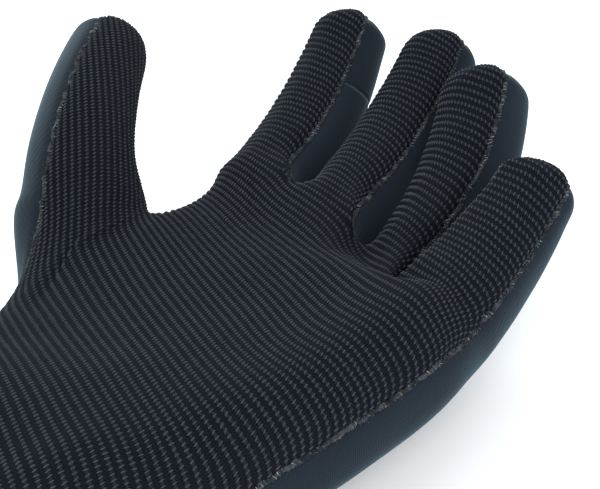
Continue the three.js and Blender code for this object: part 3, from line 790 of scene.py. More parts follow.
# %% The wanted direction on each triangle
knit_triangles = np.concatenate([knit_local[:, [0, 1, 2]], knit_local[:, [0, 2, 3]]])
corners = skin[used, :3][knit_triangles]
sides = np.stack([corners[:, 2] - corners[:, 1], corners[:, 0] - corners[:, 2],
                  corners[:, 1] - corners[:, 0]], axis=1)
twice = np.cross(sides[:, 2], -sides[:, 1])
double_area = np.maximum(np.linalg.norm(twice, axis=1), 1e-12)[:, None]
face_normal = twice / double_area
hats = np.cross(face_normal[:, None, :], sides) / double_area[:, :, None]


def slope(values):
    """The slope of a value given at the points, as one vector for each triangle."""
    return (hats * values[knit_triangles][:, :, None]).sum(axis=1)


def eased_step(values, start, stop):
    """0 before the start and 1 after the stop, with a soft step between."""
    t = np.clip((values - start) / (stop - start), 0, 1)
    return t * t * (3 - 2 * t)


PALM_HEADING = -24        # of the ribs on the palm, in degrees from straight across
PALM_ENDS = -0.025        # y from the knuckle line
FINGERS_START = 0.008
THUMB_RIBS_AT = 0.35      # share of the thumb's length whose heading its ribs take
THUMB_STARTS = 0.45       # share of the thumb where its own direction begins
FINGER_SPREAD = 1.12      # the fingers fill the cloth, and draw its ribs this much apart


def laid_flat(vectors):
    """The part of each vector that lies in its triangle, one long."""
    return unit(vectors - face_normal * (vectors * face_normal).sum(axis=1, keepdims=True))


slanted_v = flat[:, 1] * cos(KNIT_TURN) - flat[:, 0] * sin(KNIT_TURN)
middle = corners.mean(axis=1)
finger_way = np.cross(laid_flat(slope(slanted_v)), face_normal)
palm_way = laid_flat(np.tile([cos(PALM_HEADING), sin(PALM_HEADING), 0], (len(middle), 1)))
finger_share = eased_step(middle[:, 1], PALM_ENDS, FINGERS_START)[:, None]
palm_way = laid_flat(lerp(palm_way, finger_way, finger_share))
thumb_way = laid_flat(np.tile(-finger_frame(THUMB, THUMB_RIBS_AT)["ahead"], (len(knit_triangles), 1)))
share = eased_step(thumb_share[knit_triangles].mean(axis=1), THUMB_STARTS, 1)
rib_way = laid_flat(lerp(palm_way, thumb_way, share))
turn = extra_turn(middle)[:, None] * (1 - share)
rib_way = rib_way * np.cos(turn) + np.cross(face_normal, rib_way) * np.sin(turn)
step_way = np.cross(face_normal, rib_way)
print(f"directions on {len(rib_way)} triangles, {int((share > 0.5).sum())} of them on the thumb")

# %% Solve the even cloth
SOLVER_ROUNDS = 1300
FIRMNESS_OF_RIBS = 9
FIRMNESS_OF_STITCHES = 2


def solved(wanted, level, firmness, start):
    """The values at the points whose slope comes nearest to the wanted one on every triangle.

    A slope along the level direction is wrong, and counts firmness times as much.
    """
    weight = double_area / 2

    def onto_points(vectors):
        flow = (hats * vectors[:, None, :]).sum(axis=2) * weight
        return np.bincount(knit_triangles.ravel(), flow.ravel(), len(start))

    def system(values):
        pull = slope(values)
        return onto_points(pull + (firmness - 1) * level * (pull * level).sum(axis=1, keepdims=True))

    target = onto_points(wanted)
    scale = np.bincount(knit_triangles.ravel(), ((hats ** 2).sum(axis=2) * weight).ravel(), len(start))
    values = start.copy()
    left = target - system(values)
    scaled = left / scale
    way = scaled.copy()
    size = left @ scaled
    for _ in range(SOLVER_ROUNDS):
        pushed = system(way)
        stride = size / (way @ pushed)
        values += stride * way
        left -= stride * pushed
        scaled = left / scale
        new_size = left @ scaled
        way = scaled + way * (new_size / size)
        size = new_size
    return values


cloth = np.zeros((len(skin), 2))
slanted_u = flat[:, 0] * cos(KNIT_TURN) + flat[:, 1] * sin(KNIT_TURN)
cloth[used, 0] = solved(rib_way, step_way, FIRMNESS_OF_STITCHES, slanted_u)
wanted_steps = step_way / lerp(1, FINGER_SPREAD, finger_share)
cloth[used, 1] = solved(wanted_steps, rib_way, FIRMNESS_OF_RIBS, slanted_v)
rib_steps = np.linalg.norm(slope(cloth[used, 1]), axis=1)
print("evenness of the ribs, from 2% to 98%:", np.percentile(rib_steps, [2, 50, 98]).round(2))

# %% [markdown]
# ## The seam's line
#
# The seam runs along the rim that the knit panel shares with the two jersey panels. The rim's edges
# are strung into one long line: from the cuff up the thumb, over every fingertip and down into every
# crotch, and back to the cuff along the little finger's side.

# %% String the rim's edges together
place = skin[:, :3] + SHIFT
normal = outward(place, quads)


def rim_edges(cell_set):
    edges, index, uses = edge_table(cell_set)
    return edges[uses == 1]


free_rim = {tuple(edge) for edge in rim_edges(quads)}
shared_rim = [edge for edge in map(tuple, rim_edges(knit_quads)) if edge not in free_rim]
links = {}
for a, b in shared_rim:
    links.setdefault(a, []).append(b)
    links.setdefault(b, []).append(a)
ends = sorted((v for v, near in links.items() if len(near) == 1), key=lambda v: place[v][0])
seam_line = [ends[0]]
while len(seam_line) < len(links):
    last = seam_line[-1]
    seam_line.append(next(v for v in links[last] if v not in seam_line[-2:-1]))
seam_length = sum(np.linalg.norm(place[b] - place[a]) for a, b in zip(seam_line, seam_line[1:]))
print(f"seam: {len(seam_line)} points, {seam_length / MM:.0f} mm long, {len(ends)} ends")

joint_rim = [edge for edge in map(tuple, rim_edges(quads[panel == 2])) if edge not in set(shared_rim)]
print("joint across the index finger:", len(joint_rim), "edges")

# %% [markdown]
# ## Ribs and the sewn-in edges
#
# Two things move the skin a little. Next to the seam the soft neoprene is pulled down into a shallow
# groove. On the knit, each rib is a low rounded ridge. A modifier with a texture could raise them,
# but real geometry shows at the outline as well, as the small steps along the thumb do in life. So
# every fine cell is cut along the lines of equal v, four to each rib, and the cuts are raised.

# %% Depth of the groove beside the seam
GROOVE_DEPTH = 0.80 * MM
GROOVE_REACH = 1.4 * MM
JOINT_DEPTH = 0.12 * MM     # of the fine joint line across the index finger
JOINT_REACH = 0.6 * MM


def distance_to(line, places):
    """How far each place is from the nearest point of a line."""
    tree = kdtree.KDTree(len(line))
    for i, spot in enumerate(line):
        tree.insert(Vector(spot), i)
    tree.balance()
    return np.array([tree.find(Vector(spot))[2] for spot in places])


def halved(line):
    """The same line with a point added midway between each two."""
    line = np.asarray(line)
    fine = np.empty((2 * len(line) - 1, 3))
    fine[::2] = line
    fine[1::2] = (line[:-1] + line[1:]) / 2
    return fine


seam_places = halved(halved(place[seam_line]))
to_seam = distance_to(seam_places, place)
joint_places = np.array([(place[a] + place[b]) / 2 for a, b in joint_rim]
                        + [place[a] for a, _ in joint_rim])
to_joint = distance_to(joint_places, place)
groove = GROOVE_DEPTH * np.exp(-(to_seam / GROOVE_REACH) ** 2)
groove += JOINT_DEPTH * np.exp(-(to_joint / JOINT_REACH) ** 2)
place = place - normal * groove[:, None]
place[:, 2] = np.maximum(place[:, 2], 0)
normal = outward(place, quads)
print(f"deepest place beside the seam: {groove.max() / MM:.2f} mm")

# %% Cut the knit's cells along its ribs
RIB_PITCH = 1.95 * MM
RIB_HEIGHT = 0.24 * MM
RIB_PROFILE = (1.0, 0.5, 0.0, 0.5)   # from one crest to the next
STRIPS = len(RIB_PROFILE)
STRIP = RIB_PITCH / STRIPS


def rib_rise(v):
    """Height of the knit over its own ground, 0 to 1, at a place v along the cloth."""
    steps = np.arange(STRIPS + 1)
    return np.interp(np.mod(v / STRIP, STRIPS), steps, (*RIB_PROFILE, RIB_PROFILE[0]))


class RibCutter:
    """Cuts cells along the lines of equal v and shares the new points between neighbours."""

    def __init__(self):
        self.spots = list(place)
        self.outs = list(normal)
        self.cloths = list(cloth)
        self.chains = {}
        self.cut_points = set()

    def chain(self, a, b):
        """The points from a to b, with a new one where each line of equal v crosses."""
        low, high = min(a, b), max(a, b)
        if (low, high) not in self.chains:
            start, stop = self.cloths[low][1], self.cloths[high][1]
            first = math.floor(min(start, stop) / STRIP) + 1
            last = math.ceil(max(start, stop) / STRIP) - 1
            cuts = range(first, last + 1) if start < stop else range(last, first - 1, -1)
            line = [low]
            for cut in cuts:
                t = (cut * STRIP - start) / (stop - start)
                line.append(len(self.spots))
                self.cut_points.add(len(self.spots))
                self.spots.append(lerp(self.spots[low], self.spots[high], t))
                self.outs.append(lerp(self.outs[low], self.outs[high], t))
                self.cloths.append(lerp(self.cloths[low], self.cloths[high], t))
            self.chains[(low, high)] = line + [high]
        line = self.chains[(low, high)]
        return line if a < b else line[::-1]

    def side(self, corners):
        """The points along a row of corners that rises all the way, as runs from cut to cut."""
        line = [corners[0]]
        for a, b in zip(corners, corners[1:]):
            line += self.chain(a, b)[1:]
        runs = [[line[0]]]
        for v in line[1:]:
            runs[-1].append(v)
            if v in self.cut_points:
                runs.append([v])
        return runs

    def cut(self, corners):
        """The faces between the cuts of one cell."""
        heights = [self.cloths[v][1] for v in corners]
        low, high = heights.index(min(heights)), heights.index(max(heights))
        turned = corners[low:] + corners[:low]
        peak = (high - low) % len(corners)
        ahead, back = turned[:peak + 1], [turned[0]] + turned[:peak - 1:-1]
        levels_ahead = [self.cloths[v][1] for v in ahead]
        levels_back = [self.cloths[v][1] for v in back]
        if levels_ahead != sorted(levels_ahead) or levels_back != sorted(levels_back):
            a, b, c, d = corners
            return self.cut([a, b, c]) + self.cut([a, c, d])
        faces = []
        for run, other in zip(self.side(ahead), self.side(back)):
            face = run + [v for v in other[::-1] if v not in run]
            if len(face) > 2:
                faces.append(face)
        return faces


def knit_mesh(cell_set):
    """Places, outward directions, cloth coordinates and faces of the knit, with its ribs raised."""
    cutter = RibCutter()
    faces = []
    for corners in cell_set.tolist():
        faces += cutter.cut(corners)
    spots, outs, cloths = np.array(cutter.spots), np.array(cutter.outs), np.array(cutter.cloths)
    outs = unit(outs)
    spots = spots + outs * (RIB_HEIGHT * rib_rise(cloths[:, 1]))[:, None]
    return spots, outs, cloths, faces, cutter.chain


knit_spots, knit_outs, knit_cloth, knit_faces, chain_of = knit_mesh(knit_quads)
print("knit faces:", len(knit_faces), "as triangles:", sum(len(face) - 2 for face in knit_faces))

# %% [markdown]
# ## Making the meshes
#
# One helper turns arrays into a Blender object. Each panel is an outer cloth whose edges turn in
# towards the foam, so that no paper-thin edge shows. The cloth coordinates are kept as a UV map in
# millimetres, and the materials draw their yarn from it.

# %% Helpers for meshes
EDGE_TURN_IN = 1.5 * MM


def unused_dropped(spots, faces, extra):
    """The same mesh without the points that no face uses."""
    used = np.unique(np.concatenate([np.asarray(face) for face in faces]))
    number = np.full(len(spots), -1)
    number[used] = np.arange(len(used))
    return spots[used], [[int(number[v]) for v in face] for face in faces], extra[used]


def make_object(name, spots, faces, cloths=None, smooth=True):
    mesh = bpy.data.meshes.new(name)
    mesh.from_pydata([tuple(spot) for spot in spots], [], faces)
    if cloths is not None:
        corner = np.empty(len(mesh.loops), np.int32)
        mesh.loops.foreach_get("vertex_index", corner)
        layer = mesh.uv_layers.new(name="cloth")
        layer.data.foreach_set("uv", (np.asarray(cloths)[corner] / MM).astype(np.float32).ravel())
    if smooth:
        mesh.polygons.foreach_set("use_smooth", [True] * len(mesh.polygons))
    mesh.update()
    piece = bpy.data.objects.new(name, mesh)
    bpy.context.scene.collection.objects.link(piece)
    print(f"{name}: {len(mesh.vertices)} points, {len(mesh.polygons)} faces")
    return piece


def with_turned_edge(spots, outs, cloths, faces, edge_chain, cell_set):
    """Adds a strip along each edge of the panel that turns in towards the foam."""
    spots, cloths = list(spots), list(cloths)
    inner = {}

    def turned_in(v):
        if v not in inner:
            inner[v] = len(spots)
            spots.append(spots[v] - outs[v] * EDGE_TURN_IN)
            cloths.append(cloths[v])
        return inner[v]

    rim = {tuple(edge) for edge in rim_edges(cell_set)}
    strips = []
    for corners in cell_set:
        for k in range(4):
            a, b = int(corners[k]), int(corners[(k + 1) % 4])
            if (min(a, b), max(a, b)) not in rim:
                continue
            chain = edge_chain(a, b)
            for p, q in zip(chain, chain[1:]):
                strips.append([q, p, turned_in(p), turned_in(q)])
    return np.array(spots), np.array(cloths), faces + strips


# %% The knit palm
spots, cloths, faces = with_turned_edge(knit_spots, knit_outs, knit_cloth, knit_faces, chain_of,
                                        knit_quads)
spots, faces, cloths = unused_dropped(spots, faces, cloths)
palm_knit = make_object("palm_knit", spots, faces, cloths)

# %% The jersey back and the back of the index finger
jersey_cloth = np.stack([skin[:, 3], skin[:, 5]], axis=1)


def jersey_panel(name, number):
    cell_set = quads[panel == number]
    spots, cloths, faces = with_turned_edge(
        place, normal, jersey_cloth, [[int(v) for v in cell] for cell in cell_set],
        lambda a, b: [a, b], cell_set)
    spots, faces, cloths = unused_dropped(spots, faces, cloths)
    return make_object(name, spots, faces, cloths)


back_jersey = jersey_panel("back_jersey", 1)
index_jersey = jersey_panel("index_jersey", 2)

# %% [markdown]
# ## The inside
#
# The cuff is open, so its inside shows from the wrist's side. A lining follows the outer skin at the
# neoprene's thickness, and a ring of cut foam closes the end between the two. The directions inwards
# are eased towards their neighbours' first, or the lining would fold in the tight crotches.

# %% Lining and cut edge
skin1, quads1, _, _ = levels[0]
outs1 = outward(skin1[:, :3], quads1)
edges1 = edge_table(quads1)[0]
near1 = np.maximum(np.bincount(edges1.ravel(), minlength=len(skin1)), 1)[:, None]
for _ in range(EASING_PASSES):
    outs1 = unit(outs1 + sum_along(edges1, outs1) / near1)
inside = skin1[:, :3] - outs1 * WALL
cuff_end = {int(v) for edge in rim_edges(quads1) for v in edge}
for v in cuff_end:
    inside[v, 1] = skin1[v, 1]
lining_values, lining_quads, _ = subdivide(inside, quads1[:, ::-1].copy(), np.zeros(len(quads1), int))
lining_places = skin_points(lining_values, lining_quads) + SHIFT
lining = make_object("lining", lining_places, lining_quads.tolist())

CUFF_MIDDLE = (0.029, 0.026)   # x and z of the middle of the cuff's end


def round_the_cuff(cell_set, places):
    """The rim's points in their order round the cuff's end."""
    def turn_of(v):
        return math.atan2(places[v][2] - CUFF_MIDDLE[1], places[v][0] - CUFF_MIDDLE[0])
    return sorted({int(v) for edge in rim_edges(cell_set) for v in edge}, key=turn_of)


outer_rim = round_the_cuff(quads, place)
inner_rim = round_the_cuff(lining_quads, lining_places)
print("cuff's end:", len(outer_rim), "points outside,", len(inner_rim), "inside")

# %% The ring of cut foam
def strip_between(name, outer_line, inner_line, cloths=None):
    """Joins two closed lines, whose points run the same way round, by a strip of faces."""
    faces = []
    i = j = 0
    n, m = len(outer_line), len(inner_line)
    while i < n or j < m:
        outer_next = (i + 1) / n <= (j + 1) / m if i < n and j < m else i < n
        a, b = i % n, n + j % m
        if outer_next:
            faces.append([a, (i + 1) % n, b])
            i += 1
        else:
            faces.append([a, n + (j + 1) % m, b])
            j += 1
    return make_object(name, list(outer_line) + list(inner_line), faces, cloths, smooth=False)


cut_edge = strip_between("cut_edge", place[outer_rim], lining_places[inner_rim])

# %% [markdown]
# ## Stitches of the knit
#
# Every rib of this knit is a column of small slanted stitches, drawn a little paler than the ground
# as painted highlight where their tops catch the light. They sit on a regular grid of the flat
# cloth: one rib after the next along v, and one stitch after the next along u, with every other rib
# shifted by half a step. Each triangle of the fine skin knows its own piece of the flat cloth, so the
# grid's points that fall inside it can be carried back onto the glove. One bead with twelve triangles
# is copied there by arrays, which is far lighter than an object for each stitch.

# %% Carry the grid of stitches onto the glove
STITCH_STEP = 1.20 * MM
STITCH_SLANT = -62          # turn from the rib's own direction, in degrees
STITCH_LENGTH = 1.50 * MM
STITCH_WIDTH = 0.43 * MM
STITCH_RISE = 0.20 * MM
STITCH_ROOT = 0.12 * MM     # how far a stitch's foot sinks into the rib
SEAM_MARGIN = 0.7 * MM      # no stitch is nearer to the seam than this
SLANT_CHANGES = 6           # spread of the slant from stitch to stitch, in degrees
draw = np.random.default_rng(7)


def stitch_places(cells):
    """The grid's points on the cloth, each as a triangle's corners and two shares within it."""
    found = []
    triangles = np.concatenate([cells[:, [0, 1, 2]], cells[:, [0, 2, 3]]])
    for a, b, c in triangles:
        pa, pb, pc = cloth[a], cloth[b], cloth[c]
        low_v, high_v = min(pa[1], pb[1], pc[1]), max(pa[1], pb[1], pc[1])
        first, last = math.ceil(low_v / RIB_PITCH), math.floor(high_v / RIB_PITCH)
        if first > last:
            continue
        e, f = pb - pa, pc - pa
        area = e[0] * f[1] - e[1] * f[0]
        if abs(area) < 1e-10:
            continue
        low_u, high_u = min(pa[0], pb[0], pc[0]), max(pa[0], pb[0], pc[0])
        for row in range(first, last + 1):
            shift = 0.5 * (row % 2)
            first_step = math.ceil(low_u / STITCH_STEP - shift)
            last_step = math.floor(high_u / STITCH_STEP - shift)
            for step in range(first_step, last_step + 1):
                g = np.array([(step + shift) * STITCH_STEP, row * RIB_PITCH]) - pa
                s = (g[0] * f[1] - g[1] * f[0]) / area
                t = (e[0] * g[1] - e[1] * g[0]) / area
                if s >= 0 and t >= 0 and s + t <= 1:
                    found.append((a, b, c, s, t))
    return found


found = stitch_places(knit_quads)
a, b, c = (np.array([row[k] for row in found]) for k in range(3))
s, t = (np.array([row[k] for row in found])[:, None] for k in (3, 4))
spot = place[a] * (1 - s - t) + place[b] * s + place[c] * t
out = normal[a] * (1 - s - t) + normal[b] * s + normal[c] * t
e, f = cloth[b] - cloth[a], cloth[c] - cloth[a]
area = (e[:, 0] * f[:, 1] - e[:, 1] * f[:, 0])[:, None]
edge_e, edge_f = place[b] - place[a], place[c] - place[a]
along_u = (edge_e * f[:, 1:2] - edge_f * e[:, 1:2]) / area
along_v = (edge_f * e[:, 0:1] - edge_e * f[:, 0:1]) / area


out, along_u, along_v = unit(out), unit(along_u), unit(along_v)
clear = distance_to(seam_places, spot) > SEAM_MARGIN
slant = np.radians(STITCH_SLANT + draw.normal(0, SLANT_CHANGES, len(spot)))[:, None]
run = unit(along_u * np.cos(slant) + along_v * np.sin(slant))
wide = unit(np.cross(out, run))
run = np.cross(wide, out)
print(f"stitches: {int(clear.sum())} on the ribs")

# %% Copy a bead to every place
BEAD = np.array([(-1, 0, 0), (-0.55, -1, 0), (0.55, -1, 0), (1, 0, 0), (0.55, 1, 0), (-0.55, 1, 0),
                 (-0.5, 0, 1), (0.5, 0, 1)], float)
BEAD_FACES = [[1, 2, 7, 6], [4, 5, 6, 7], [0, 1, 6], [5, 0, 6], [2, 3, 7], [3, 4, 7],
              [5, 4, 3, 2, 1, 0]]


def copied(shape, shape_faces, origins, axes, sizes):
    """Copies one small shape to many places, each with its own axes and sizes."""
    spots = origins[:, None, :] + sum(
        shape[None, :, k:k + 1] * (axes[k] * sizes[k][:, None])[:, None, :] for k in range(3))
    faces = [[v + i * len(shape) for v in face] for i in range(len(origins)) for face in shape_faces]
    return spots.reshape(-1, 3), faces


count = int(clear.sum())
lengths = STITCH_LENGTH / 2 * draw.uniform(0.85, 1.12, count)
widths = STITCH_WIDTH / 2 * draw.uniform(0.85, 1.15, count)
rises = (STITCH_RISE + STITCH_ROOT) * draw.uniform(0.85, 1.15, count)
origins = spot[clear] + out[clear] * (RIB_HEIGHT - STITCH_ROOT)
spots, faces = copied(BEAD, BEAD_FACES, origins, (run[clear], wide[clear], out[clear]),
                      (lengths, widths, rises))
palm_stitches = make_object("palm_stitches", spots, faces)

# %% [markdown]
# ## The raised seam
#
# Where the panels meet, the real seam is glued and oversewn, and the yarn's cut ends stand out as a
# rough, pale grey line. It is built in three layers: a lumpy ridge that follows the seam, loops of
# thread that climb over it every millimetre, and short loose fibres. Curves with a bevel would do
# for a single thread, but thousands of them are quicker as small tubes made by arrays.

# %% Walk along the seam at even steps
RIDGE_STEP = 0.5 * MM
RIDGE_WIDTH = 0.62 * MM
RIDGE_HEIGHT = 0.55 * MM
RIDGE_LIFT = 0.15 * MM      # of its middle line over the groove
RIDGE_WANDER = 0.18 * MM    # to either side
RIDGE_SIDES = 8


def even_steps(places, outs, step):
    """Places and outward directions at an even step along a line."""
    gaps = np.linalg.norm(np.diff(places, axis=0), axis=1)
    total = np.concatenate([[0], np.cumsum(gaps)])
    count = max(2, int(total[-1] / step))
    at = np.linspace(0, total[-1], count)
    spots = np.stack([np.interp(at, total, places[:, k]) for k in range(3)], axis=1)
    normals = unit(np.stack([np.interp(at, total, outs[:, k]) for k in range(3)], axis=1))
    return spots, normals


def smoothed(line, rounds):
    """The same line with its small corners rounded off."""
    for _ in range(rounds):
        line = line.copy()
        line[1:-1] = (line[:-2] + 2 * line[1:-1] + line[2:]) / 4
    return line


def line_frames(spots, normals):
    """Directions ahead, to the side and up at each place of a line."""
    ahead = unit(np.gradient(spots, axis=0))
    side = unit(np.cross(ahead, normals))
    return ahead, side, unit(np.cross(side, ahead))


def slow_noise(count, reach, seed_draw):
    """Random values near zero that change slowly along a line."""
    raw = seed_draw.normal(0, 1, count + 2 * reach)
    kernel = np.hanning(2 * reach + 1)
    return np.convolve(raw, kernel / np.sqrt((kernel ** 2).sum()), "valid")[:count]


seam_spots, seam_outs = even_steps(smoothed(place[seam_line], 2), smoothed(normal[seam_line], 3),
                                   RIDGE_STEP)
seam_ahead, seam_side, seam_up = line_frames(seam_spots, seam_outs)
print(f"the seam is walked in {len(seam_spots)} steps")


def tube_faces(count, sides):
    """Faces of a tube with so many rings, closed at both ends."""
    faces = []
    for i in range(count - 1):
        for k in range(sides):
            a, b = i * sides + k, i * sides + (k + 1) % sides
            faces.append([a, b, b + sides, a + sides])
    faces.append(list(range(sides))[::-1])
    faces.append([(count - 1) * sides + k for k in range(sides)])
    return faces


def tube(spots, side, up, half_width, half_height, sides):
    """A tube with an oval section round a line."""
    turns = np.arange(sides) / sides * 2 * math.pi
    shape = (spots[:, None, :]
             + side[:, None, :] * (half_width[:, None] * np.cos(turns))[:, :, None]
             + up[:, None, :] * (half_height[:, None] * np.sin(turns))[:, :, None])
    return shape.reshape(-1, 3), tube_faces(len(spots), sides)


# %% The lumpy ridge
count = len(seam_spots)
wander = RIDGE_WANDER * slow_noise(count, 5, draw)
ridge_width = RIDGE_WIDTH * np.clip(1 + 0.16 * slow_noise(count, 2, draw), 0.6, 1.5)
ridge_height = RIDGE_HEIGHT * np.clip(1 + 0.22 * slow_noise(count, 1, draw), 0.5, 1.7)
ridge_line = seam_spots + seam_side * wander[:, None] + seam_up * RIDGE_LIFT
spots, faces = tube(ridge_line, seam_side, seam_up, ridge_width, ridge_height, RIDGE_SIDES)
spots[:, 2] = np.maximum(spots[:, 2], 0.0)
seam_ridge = make_object("seam_ridge", spots, faces)

# %% Loops of thread over the ridge
LOOP_STEP = 0.95 * MM
LOOP_RADIUS = 0.12 * MM
LOOP_POINTS = 6
LOOP_SIDES = 4
LOOP_SCATTER = 0.07 * MM
SEAM_END_STEPS = 2          # steps at each end of the seam that stay bare


def many_tubes(paths, radius, sides, taper=0.0):
    """Joins a thin tube along each of many short paths, all with the same number of points."""
    number, length, _ = paths.shape
    ahead = unit(np.gradient(paths, axis=1))
    guide = np.where(np.abs(ahead[:, :, 2:3]) < 0.9, [[[0.0, 0.0, 1.0]]], [[[1.0, 0.0, 0.0]]])
    side = unit(np.cross(ahead, guide))
    up = np.cross(side, ahead)
    turns = np.arange(sides) / sides * 2 * math.pi
    thin = 1 - taper * np.linspace(0, 1, length)
    size = radius[:, None, None, None] * thin[None, :, None, None]
    shape = (paths[:, :, None, :]
             + side[:, :, None, :] * np.cos(turns)[None, None, :, None] * size
             + up[:, :, None, :] * np.sin(turns)[None, None, :, None] * size)
    one = tube_faces(length, sides)
    faces = [[v + n * length * sides for v in face] for n in range(number) for face in one]
    return shape.reshape(-1, 3), faces


steps = int(round(LOOP_STEP / RIDGE_STEP))
at = np.arange(SEAM_END_STEPS, count - SEAM_END_STEPS, steps)
loops = len(at)
reach = RIDGE_WIDTH * draw.uniform(0.95, 1.5, loops)
lift = RIDGE_HEIGHT * draw.uniform(1.05, 1.5, loops)
lean = LOOP_STEP * draw.normal(0.5, 0.35, loops)
share = np.linspace(-1, 1, LOOP_POINTS)
paths = (ridge_line[at][:, None, :]
         + seam_side[at][:, None, :] * (reach[:, None] * share)[:, :, None]
         + seam_ahead[at][:, None, :] * (lean[:, None] * share)[:, :, None]
         + seam_up[at][:, None, :] * (lift[:, None] * (1 - share ** 2) - RIDGE_LIFT)[:, :, None])
paths += draw.normal(0, LOOP_SCATTER, paths.shape)
paths[:, :, 2] = np.maximum(paths[:, :, 2], LOOP_RADIUS)
spots, faces = many_tubes(paths, LOOP_RADIUS * draw.uniform(0.75, 1.25, loops), LOOP_SIDES)
seam_threads = make_object("seam_threads", spots, faces)

# %% Loose fibres
FIBRES_PER_STEP = 2
FIBRE_LENGTH = 1.3 * MM
FIBRE_RADIUS = 0.045 * MM
FIBRE_POINTS = 4
FIBRE_SIDES = 3
FIBRE_TAPER = 0.6           # share of its thickness that a fibre loses towards its end
at = np.repeat(np.arange(SEAM_END_STEPS, count - SEAM_END_STEPS), FIBRES_PER_STEP)
fibres = len(at)
start = (ridge_line[at] + seam_side[at] * draw.normal(0, 0.6 * RIDGE_WIDTH, fibres)[:, None]
         + seam_up[at] * (0.5 * RIDGE_HEIGHT)
         + seam_ahead[at] * draw.normal(0, RIDGE_STEP, fibres)[:, None])
heading = unit(seam_up[at] * draw.uniform(0.15, 1.0, fibres)[:, None]
               + seam_side[at] * draw.normal(0, 0.9, fibres)[:, None]
               + seam_ahead[at] * draw.normal(0, 0.9, fibres)[:, None])
curl = draw.normal(0, 0.35, (fibres, 3))
length = FIBRE_LENGTH * draw.uniform(0.35, 1.0, fibres) ** 1.5
share = np.linspace(0, 1, FIBRE_POINTS)
paths = (start[:, None, :] + heading[:, None, :] * (length[:, None] * share)[:, :, None]
         + curl[:, None, :] * (length[:, None] * share ** 2)[:, :, None])
paths[:, :, 2] = np.maximum(paths[:, :, 2], FIBRE_RADIUS)
spots, faces = many_tubes(paths, FIBRE_RADIUS * np.ones(fibres), FIBRE_SIDES, FIBRE_TAPER)
seam_fibres = make_object("seam_fibres", spots, faces)

# %% [markdown]
# ## Materials
#
# The cloths and the seam's yarn need the same few effects at different scales: fine rows of yarn, a
# cloudy change of colour, and grain as small as a single fibre. Each effect is a node group with
# named inputs, built once, that gives out only masks and heights. The shader itself stays in each
# material, with its plain numbers set on its own sockets.

# %% Helpers for node groups
def new_group(name, inputs, outputs):
    group = bpy.data.node_groups.new(name, "ShaderNodeTree")
    for label, kind, value in inputs:
        socket = group.interface.new_socket(label, in_out="INPUT", socket_type=kind)
        if value is not None:
            socket.default_value = value
    for label, kind in outputs:
        group.interface.new_socket(label, in_out="OUTPUT", socket_type=kind)
    return group, group.nodes.new("NodeGroupInput"), group.nodes.new("NodeGroupOutput")


def maths(tree, kind, first, second=None, third=None, limit=False):
    node = tree.nodes.new("ShaderNodeMath")
    node.operation = kind
    node.use_clamp = limit
    for k, value in enumerate((first, second, third)):
        if value is None:
            continue
        if isinstance(value, (int, float)):
            node.inputs[k].default_value = value
        else:
            tree.links.new(value, node.inputs[k])
    return node.outputs[0]


def noise(tree, vector, scale, detail=2.0, roughness=0.5):
    node = tree.nodes.new("ShaderNodeTexNoise")
    node.inputs["Detail"].default_value = detail
    node.inputs["Roughness"].default_value = roughness
    tree.links.new(vector, node.inputs["Vector"])
    if isinstance(scale, (int, float)):
        node.inputs["Scale"].default_value = scale
    else:
        tree.links.new(scale, node.inputs["Scale"])
    return node.outputs["Fac"]


# %% Rows of yarn
def build_yarn_rows():
    """Fine rows of slanted yarn on the flat cloth, with a mask of the gaps between them where the materials
    paint shade. Row and Yarn are lengths in millimetres.
    """
    group, given, result = new_group(
        "yarn_rows",
        [("Cloth", "NodeSocketVector", None), ("Row", "NodeSocketFloat", 0.5),
         ("Yarn", "NodeSocketFloat", 0.6), ("Slant", "NodeSocketFloat", 0.6)],
        [("Height", "NodeSocketFloat"), ("GapShade", "NodeSocketFloat")])
    apart = group.nodes.new("ShaderNodeSeparateXYZ")
    group.links.new(given.outputs["Cloth"], apart.inputs[0])
    wobble = noise(group, given.outputs["Cloth"], 0.35)
    bent = maths(group, "MULTIPLY_ADD", maths(group, "SUBTRACT", wobble, 0.5), 0.5, apart.outputs[1])
    row = maths(group, "MULTIPLY", maths(group, "DIVIDE", bent, given.outputs["Row"]), 2 * math.pi)
    row_wave = maths(group, "MULTIPLY_ADD", maths(group, "COSINE", row), 0.5, 0.5)
    slanted = maths(group, "MULTIPLY_ADD", bent, given.outputs["Slant"], apart.outputs[0])
    yarn = maths(group, "MULTIPLY", maths(group, "DIVIDE", slanted, given.outputs["Yarn"]), 2 * math.pi)
    yarn_wave = maths(group, "MULTIPLY_ADD", maths(group, "COSINE", yarn), 0.5, 0.5)
    height = maths(group, "MULTIPLY_ADD", yarn_wave, 0.45, maths(group, "MULTIPLY", row_wave, 0.55))
    group.links.new(height, result.inputs["Height"])
    # Mask of the gaps between the yarns, where the materials paint shade
    gaps = maths(group, "SUBTRACT", 1.0, maths(group, "MULTIPLY", height, 1.6), limit=True)
    group.links.new(gaps, result.inputs["GapShade"])
    return group


# %% Cloudy colour and fibres
def build_cloudy():
    """Two soft patchy masks, 0 to 1: clouds of the given size, and fibres forty times as small."""
    group, given, result = new_group(
        "cloudy", [("Place", "NodeSocketVector", None), ("Size", "NodeSocketFloat", 60.0)],
        [("Clouds", "NodeSocketFloat"), ("Fibres", "NodeSocketFloat")])
    clouds = noise(group, given.outputs["Place"], given.outputs["Size"], 4.0, 0.6)
    group.links.new(clouds, result.inputs["Clouds"])
    fine = noise(group, given.outputs["Place"], maths(group, "MULTIPLY", given.outputs["Size"], 40.0), 1.0)
    group.links.new(fine, result.inputs["Fibres"])
    return group


yarn_rows = build_yarn_rows()
cloudy = build_cloudy()
print("node groups:", [group.name for group in bpy.data.node_groups])


